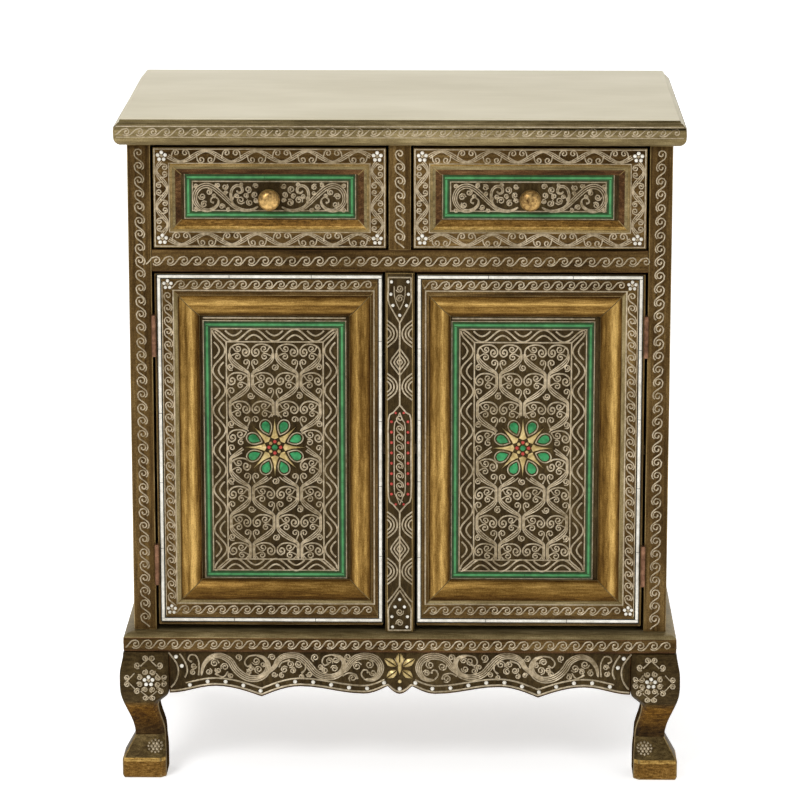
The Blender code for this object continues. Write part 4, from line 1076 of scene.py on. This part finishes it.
apron = {
    "beadPitch": 0.0202, "bead": 0.0024, "beadEnd": 0.248, "edgeGap": 0.0028, "lineGap": 0.0096,
    "line": 0.0018, "edgeEnd": 0.2555, "edgeSteps": 120, "innerEnd": 0.2400, "innerGap": 0.0150,
    "stretch": 1.03, "curlSize": 1.12, "strands": (4, 0.0022, 0.0014),
    "ribbons": [  # millimetres from the middle, and height
        [(214.4, 118.2), (212.3, 129.0), (205.9, 137.8), (197.5, 141.2), (190.1, 139.7), (182.7, 134.5),
         (178.5, 126.9), (172.1, 119.8), (163.7, 115.2), (154.2, 114.6), (146.5, 118.6), (143.0, 124.5),
         (142.4, 131.5), (146.8, 138.6), (155.2, 141.8)],
        [(156.0, 115.0), (146.3, 119.2), (135.8, 127.9), (131.5, 135.6), (125.2, 140.4), (115.7, 142.2),
         (108.3, 140.2), (103.0, 136.0), (96.7, 128.6), (91.4, 122.0), (84.0, 117.8), (73.4, 116.8),
         (65.0, 120.4), (60.8, 126.9), (60.4, 134.5), (65.2, 140.6), (73.4, 142.6)],
        [(74.0, 117.4), (65.0, 121.5), (57.6, 126.4), (53.3, 133.4), (47.1, 139.2), (37.5, 141.6),
         (28.0, 139.4), (21.9, 133.4), (20.4, 125.8), (24.0, 117.6), (30.1, 113.8), (37.5, 114.0)]],
    "tails": [
        [(155.2, 141.8), (163.2, 140.2), (167.6, 133.8), (164.6, 128.6), (160.2, 131.0)],
        [(73.4, 142.6), (81.4, 140.2), (83.8, 134.0), (80.6, 130.2), (77.0, 132.6)],
        [(37.5, 114.0), (41.4, 119.2), (39.6, 124.7), (35.4, 125.0), (34.4, 121.6)],
        [(217.6, 118.2), (217.0, 132.3), (220.4, 141.0), (226.4, 141.4), (228.6, 136.4), (224.6, 133.6)],
        [(185.9, 122.5), (189.0, 117.6), (192.6, 116.4), (199.6, 120.4)],
        [(130.5, 127.9), (127.3, 133.4), (118.8, 136.1)], [(102.0, 132.3), (102.0, 125.8), (106.2, 121.0)],
        [(61.8, 118.0), (55.1, 121.5), (47.4, 119.6), (45.8, 114.6)]],
    "curls": [
        (200.1, 132.3, 4.5), (206.5, 122.5, 3.7), (196.4, 124.0, 3.2), (189.1, 128.0, 4.4),
        (174.2, 139.2, 3.8), (222.6, 129.0, 3.2), (223.6, 121.6, 3.2), (163.6, 121.8, 3.2),
        (155.2, 134.9, 4.2), (152.6, 125.2, 4.2), (160.6, 126.0, 3.0), (147.6, 131.0, 3.0),
        (182.7, 118.0, 3.2), (137.9, 139.4, 3.7), (118.3, 131.6, 3.9), (109.3, 131.8, 4.2),
        (124.6, 125.2, 3.9), (115.7, 124.2, 3.6), (97.7, 119.8, 3.2), (91.4, 139.2, 4.2),
        (76.0, 135.4, 3.9), (69.0, 136.6, 3.6), (80.6, 124.6, 3.6), (70.6, 126.6, 4.0),
        (85.8, 128.6, 3.0), (56.0, 139.9, 3.7), (46.0, 129.4, 4.7), (32.8, 131.4, 4.7),
        (29.0, 121.8, 3.6), (50.7, 115.6, 4.4), (106.4, 117.0, 2.8), (135.4, 119.4, 3.0),
        (127.4, 118.4, 2.8)],
    "arcs": [[(257.5, 144.6), (253.2, 139.0), (248.4, 131.5), (246.6, 123.0), (248.2, 114.5), (251.2, 108.5),
              (255.0, 104.0)],
             [(245.0, 143.2), (240.6, 136.5), (237.4, 129.0), (236.8, 122.0), (239.4, 115.5)]],
    "arcBeads": [(249.0, 139.6), (242.6, 129.0)],
}


def apronEdge():  # lower edge of the apron's front, measured from below
    tree = BVHTree.FromObject(dressed["front_apron"], bpy.context.evaluated_depsgraph_get())
    low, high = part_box("front_apron")
    path = []
    for i in range(apron["edgeSteps"] + 1):
        x = -apron["edgeEnd"] + 2 * apron["edgeEnd"] * i / apron["edgeSteps"]
        hit = tree.ray_cast(Vector((x, (low.y + high.y) / 2, 0.0)), Vector((0.0, 0.0, 1.0)))[0]
        if hit:
            path.append((x, hit.z))
    return path


def beadedEdge(page, edge, turn):  # beads at even steps along the scallops, from the middle
    pitch, lift = apron["beadPitch"], (apron["edgeGap"] + apron["lineGap"]) / 2
    walked, last = 0.0, None
    for x, z in sorted((place for place in edge if place[0] * turn >= 0), key=lambda place: abs(place[0])):
        step = (pitch if turn > 0 else 0.0) if last is None else math.hypot(x - last[0], z - last[1])
        walked += step
        if walked >= pitch and abs(x) < apron["beadEnd"] and (turn > 0 or abs(x) > 0.001):
            walked -= pitch
            back = walked / step
            spot = (x, z) if last is None else (x + (last[0] - x) * back, z + (last[1] - z) * back)
            bead(page, (spot[0], spot[1] + lift), apron["bead"])
        last = (x, z)


def drawApron(page):
    edge = apronEdge()
    line(page, [(x, z + apron["edgeGap"]) for x, z in edge], apron["line"])
    inner = [(x, z + apron["lineGap"]) for x, z in edge if abs(x) < apron["innerEnd"]]
    for turn in (-1, 1):
        line(page, [place for place in inner if turn * place[0] > apron["innerGap"]], apron["line"])
    stretch = apron["stretch"]
    for turn in (1, -1):
        beadedEdge(page, edge, turn)
        for arc in apron["arcs"]:
            line(page, smooth(fromMillimetres(arc, turn)), apron["line"])
        for spot in fromMillimetres(apron["arcBeads"], turn):
            bead(page, spot, apron["bead"])
        for path in apron["ribbons"]:
            ribbon(page, smooth(fromMillimetres(path, turn, stretch=stretch)), *apron["strands"])
        for path in apron["tails"]:
            stroke(page, smooth(fromMillimetres(path, turn, stretch=stretch)), scroll["width"])
        centres = fromMillimetres(apron["curls"], turn, stretch=stretch)
        nest(page, apron["curls"], centres, turn, apron["curlSize"])


lily = {
    "heart": (0.0, 0.1272), "vein": 0.0009, "length": 0.0150, "petalRise": 0.0017, "pistilRise": 0.0024,
    "petals": [(90, 0.0180), (146, 0.0205), (34, 0.0205), (217, 0.0182), (-37, 0.0182)],
    "outline": [(0.0030, 0.0), (0.0062, 0.0032), (0.0096, 0.0042), (0.0126, 0.0024), (0.0150, 0.0)],
    "stamens": (64, 116), "stamenRoot": (0.0, 0.1275), "stamenEnds": (0.004, 0.0125),
    "pistil": [(0.0, 0.1195), (0.0024, 0.1265), (0.0016, 0.1345), (-0.0016, 0.1345), (-0.0024, 0.1265)],
    "stalk": (0.0, 0.1120), "stalkBead": 0.0023, "stamenLine": 0.0012,
}


def drawLily(page):
    for angle, length in lily["petals"]:
        for half in (1, -1):  # the vein is the gap between the halves
            outline = [(ahead * length / lily["length"], half * (aside + lily["vein"] / 2))
                       for ahead, aside in lily["outline"]]
            petal = [turned(lily["heart"], math.radians(angle), *place) for place in outline[::half]]
            dome(page, petal, lily["petalRise"], "gold_petals")
    for angle in lily["stamens"]:
        ends = [polar(lily["stamenRoot"], reach, math.radians(angle)) for reach in lily["stamenEnds"]]
        line(page, ends, lily["stamenLine"])
    dome(page, lily["pistil"], lily["pistilRise"], "gold_petals")
    bead(page, lily["stalk"], lily["stalkBead"], "gold_petals")


apronPage = sheet("carcass", "apron")
drawApron(apronPage)
drawLily(apronPage)


# knees and feet

knee = {"middle": (0.2792, 0.1140), "flower": (0.0046, 0.0023), "forks": (0.0238, 0.0250, 0.0168, 0.0200),
        "spread": 0.0040, "stem": (0.0082, 0.0090), "curl": 0.0034, "cornerCurl": 1.1, "inner": 0.0110,
        "innerCount": 8,
        "corners": ((0.0125, 0.0176), (-0.0125, 0.0176), (-0.0130, -0.0122), (0.0130, -0.0122))}


def drawKnee(page):  # a flower, a ring of spirals, four forks with paired spirals and one in each corner
    middle, size = knee["middle"], knee["curl"]
    flower(page, middle, *knee["flower"])
    for quarter, reach in enumerate(knee["forks"]):
        angle = quarter * math.pi / 2
        for lean in (-1, 1):
            stem = turned(middle, angle, reach - knee["stem"][0], lean * knee["stem"][1])
            tip = turned(middle, angle, reach, lean * knee["spread"])
            stroke(page, [stem] + spiral(tip, size, math.degrees(angle) - 100 * lean, 1.35, lean))
    for x, z in knee["corners"]:
        start, hand = math.degrees(math.atan2(z, x)) + 180, 1 if x * z > 0 else -1
        stroke(page, spiral((middle[0] + x, middle[1] + z), size * knee["cornerCurl"], start, 1.5, hand, 13))
    for i in range(knee["innerCount"]):
        angle = 2 * math.pi * (i + 0.5) / knee["innerCount"]
        stroke(page, spiral(polar(middle, knee["inner"], angle), size, math.degrees(angle) + 40, 1.5, 1, 13))


foot = {"middle": (0.2735, 0.0356), "squash": 0.80,
        "rings": ((1, 0.0, 0.0019), (6, 0.0040, 0.0019), (12, 0.0076, 0.0013))}  # count, reach and size


def drawFoot(page):  # a small rosette of dots on the instep
    for count, reach, size in foot["rings"]:
        for i in range(count):
            spot = polar(foot["middle"], reach, 2 * math.pi * i / count, foot["squash"])
            bead(page, spot, size, "raised_scrolls")


for side, flip in sides.items():
    page = sheet("carcass", side + "Leg", flip)
    drawKnee(page)
    drawFoot(page)
print("apron and knees drawn")


def drawnLines(lines, roundness):  # poly curves with a round bevel, turned into a mesh
    curve = bpy.data.curves.new("drawnLines", "CURVE")
    curve.dimensions = "3D"
    curve.twist_mode = "Z_UP"
    curve.bevel_depth = 1.0
    curve.bevel_resolution = roundness
    curve.use_fill_caps = True
    for run in lines:
        spline = curve.splines.new("POLY")
        spline.points.add(len(run) - 1)
        for point, (u, v, radius) in zip(spline.points, run):
            point.co = (u, v, 0.0, 1.0)
            point.radius = radius
    newPiece("drawnLines", curve)
    bpy.ops.object.convert(target="MESH")
    drawn = bpy.context.view_layer.objects.active
    mesh = drawn.data
    bpy.data.objects.remove(drawn)
    return mesh


def addDome(shape, outline, height):
    count = len(outline)
    middle = Vector((sum(u for u, v in outline) / count, sum(v for u, v in outline) / count, 0.0))
    rings = []
    for share, rise in ((1.0, -0.0004), (1.0, height * 0.25), (0.72, height * 0.85)):
        spots = [middle + (Vector((u, v, 0.0)) - middle) * share + Vector((0, 0, rise)) for u, v in outline]
        rings.append([shape.verts.new(spot) for spot in spots])
    domeFaces = [shape.faces.new(rings[-1]), shape.faces.new(rings[0][::-1])]
    for low, high in zip(rings, rings[1:]):
        for i in range(count):
            after = (i + 1) % count
            domeFaces.append(shape.faces.new((low[i], low[after], high[after], high[i])))
    bmesh.ops.recalc_face_normals(shape, faces=domeFaces)


def flatShape(drawn, roundness, flat):  # one face's marks, still flat
    shape = bmesh.new()
    if drawn["lines"]:
        mesh = drawnLines(drawn["lines"], roundness)
        shape.from_mesh(mesh)
        bpy.data.meshes.remove(mesh)
    for u, v, radius in drawn["beads"]:
        spot = Matrix.Translation((u, v, 0.0))
        bmesh.ops.create_uvsphere(shape, u_segments=8, v_segments=5, radius=radius, matrix=spot)
    for outline, height in drawn["domes"]:
        addDome(shape, outline, height / flat)
    return shape


def meshOf(name, shape):
    mesh = bpy.data.meshes.new(name)
    shape.to_mesh(mesh)
    shape.free()
    return mesh


def layOrnament():
    shapes = {}
    for (body, paint, face), drawn in ornament.items():
        finish, roundness, flat = paints[paint]
        shape = flatShape(drawn, roundness, flat)
        for vertex in shape.verts:
            u, v, h = vertex.co
            vertex.co = faces[face](u, v, h * flat)
        mesh = meshOf("laid", shape)
        shapes.setdefault((body, paint), bmesh.new()).from_mesh(mesh)
        bpy.data.meshes.remove(mesh)
    for (body, paint), shape in shapes.items():
        piece = newPiece(f"{body}_{paint}", meshOf(f"{body}_{paint}", shape))
        piece.data.materials.append(finishes[paints[paint][0]])
        smoothed(60)
        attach(piece, body)
        print("laid", piece.name, len(piece.data.polygons), "faces")


layOrnament()


# knobs, screws and hinges

knob = {
    "steps": 40, "weld": 0.00001,
    "profile": [(0.0, 0.0260), (0.0030, 0.0259), (0.0068, 0.0252), (0.0098, 0.0234), (0.0115, 0.0205),
                (0.0119, 0.0178), (0.0112, 0.0150), (0.0094, 0.0126), (0.0074, 0.0110), (0.0065, 0.0095),
                (0.0066, 0.0060), (0.0074, 0.0042), (0.0086, 0.0030), (0.0087, 0.0012), (0.0083, 0.0004),
                (0.0022, 0.0004), (0.0022, 0.0118), (0.0, 0.0118)],  # radius, and reach from the panel
}


def turnKnob(side):
    low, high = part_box(f"{side}_drawer_knob")
    middle = (low + high) / 2
    mesh = bpy.data.meshes.new(f"{side}_drawer_knob_turned")
    points = [(radius, -reach, 0.0) for radius, reach in knob["profile"]]
    mesh.from_pydata(points, [(i, i + 1) for i in range(len(points) - 1)], [])
    piece = newPiece(mesh.name, mesh)
    lathe = piece.modifiers.new("lathe", "SCREW")
    lathe.axis = "Y"
    lathe.steps = lathe.render_steps = knob["steps"]
    lathe.use_merge_vertices = True
    lathe.merge_threshold = knob["weld"]
    bpy.ops.object.modifier_apply(modifier=lathe.name)
    mesh.transform(Matrix.Translation((middle.x, sunkY, middle.z)))
    bpy.ops.object.mode_set(mode="EDIT")
    bpy.ops.mesh.select_all(action="SELECT")
    bpy.ops.mesh.remove_doubles(threshold=knob["weld"])
    bpy.ops.mesh.normals_make_consistent(inside=False)
    bpy.ops.object.mode_set(mode="OBJECT")
    smoothed(40)
    mesh.materials.append(finishes["brass"])
    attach(piece, f"{side}_drawer")
    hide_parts(f"{side}_drawer_knob")


for side in sides:
    turnKnob(side)
    dress(f"{side}_drawer_knob_screw", f"{side}_drawer", ("steel",), 0.0003)
    for place in ("upper", "lower"):
        for leaf, body in (("frame", "carcass"), ("door", f"{side}_door")):
            dress(f"{side}_{place}_hinge_{leaf}_leaf", body, ("copper",), 0.00015)
print("knobs and hinges made")


# floor, light and camera

studio = {
    "floorColour": (0.90, 0.90, 0.90), "floorGlow": 0.58, "world": 0.31, "lens": 176.3,
    "aim": (0.0, 0.0, 0.38),
    "cameraPlace": (0.066, -4.3605, 1.398), "tilt": 12.99, "yaw": -0.90,
    "bendSteps": 8, "bendStep": 0.5, "wall": 5.0,
    "lamps": {"keySoftbox": ((-1.5, -2.6, 2.5), 1.1, 54.0), "fillSoftbox": ((2.2, -3.0, 1.3), 1.8, 20.0),
              "topSoftbox": ((0.3, 0.6, 3.2), 2.2, 20.0)},  # place, size, watts
}


def raiseEdge(move):
    bpy.ops.mesh.extrude_region_move(TRANSFORM_OT_translate={"value": move})


def makeSweep():
    bpy.ops.object.select_all(action="DESELECT")
    bpy.ops.mesh.primitive_plane_add(size=2.0)
    floor = bpy.context.view_layer.objects.active
    floor.name = "studioSweep"
    bpy.ops.object.mode_set(mode="EDIT")
    bpy.ops.transform.resize(value=(9.0, 3.5, 1.0))
    bpy.ops.transform.translate(value=(0.0, -2.0, 0.0))
    bpy.ops.object.mode_set(mode="OBJECT")
    corners = floor.data.vertices
    for edge in floor.data.edges:
        edge.select = all(corners[i].co.y > 0 for i in edge.vertices)
    for corner in corners:
        corner.select = corner.co.y > 0
    for face in floor.data.polygons:
        face.select = False
    bpy.ops.object.mode_set(mode="EDIT")
    for step in range(studio["bendSteps"]):  # the backdrop curves up behind the cabinet
        angle = math.radians(90 / studio["bendSteps"] * (step + 0.5))
        raiseEdge((0.0, studio["bendStep"] * math.cos(angle), studio["bendStep"] * math.sin(angle)))
    raiseEdge((0.0, 0.0, studio["wall"]))
    bpy.ops.object.mode_set(mode="OBJECT")
    bpy.ops.object.shade_smooth()
    paper = newFinish("paleSweep", 0.9)
    stops = [(place, *studio["floorColour"]) for place in (0.3, 0.7)]
    setShader(paper, {"Base Color": colourRamp(paper, grain(paper, 0.8, detail=2.0), stops),
                      "Emission Color": (1.0, 1.0, 1.0, 1.0), "Emission Strength": studio["floorGlow"]})
    floor.data.materials.append(paper)


def makeLight():
    world = bpy.data.worlds.new("paleRoom")
    world.use_nodes = True
    background = world.node_tree.nodes["Background"]
    background.inputs["Color"].default_value = (1.0, 0.99, 0.97, 1.0)
    background.inputs["Strength"].default_value = studio["world"]
    bpy.context.scene.world = world
    for name, (place, size, watts) in studio["lamps"].items():
        bpy.ops.object.light_add(type="AREA", location=place)
        lamp = bpy.context.view_layer.objects.active
        lamp.name = name
        lamp.data.size = size
        lamp.data.energy = watts
        lamp.rotation_euler = (Vector(studio["aim"]) - Vector(place)).to_track_quat("-Z", "Y").to_euler()


def makeCamera():
    bpy.ops.object.camera_add(location=studio["cameraPlace"])
    camera = bpy.context.view_layer.objects.active
    camera.data.lens = studio["lens"]
    camera.data.sensor_width = 36.0
    camera.rotation_euler = (math.radians(90 - studio["tilt"]), 0.0, math.radians(-studio["yaw"]))
    bpy.context.scene.camera = camera
    bpy.context.scene.view_settings.view_transform = "Standard"


makeSweep()
makeLight()
makeCamera()
print("studio set")
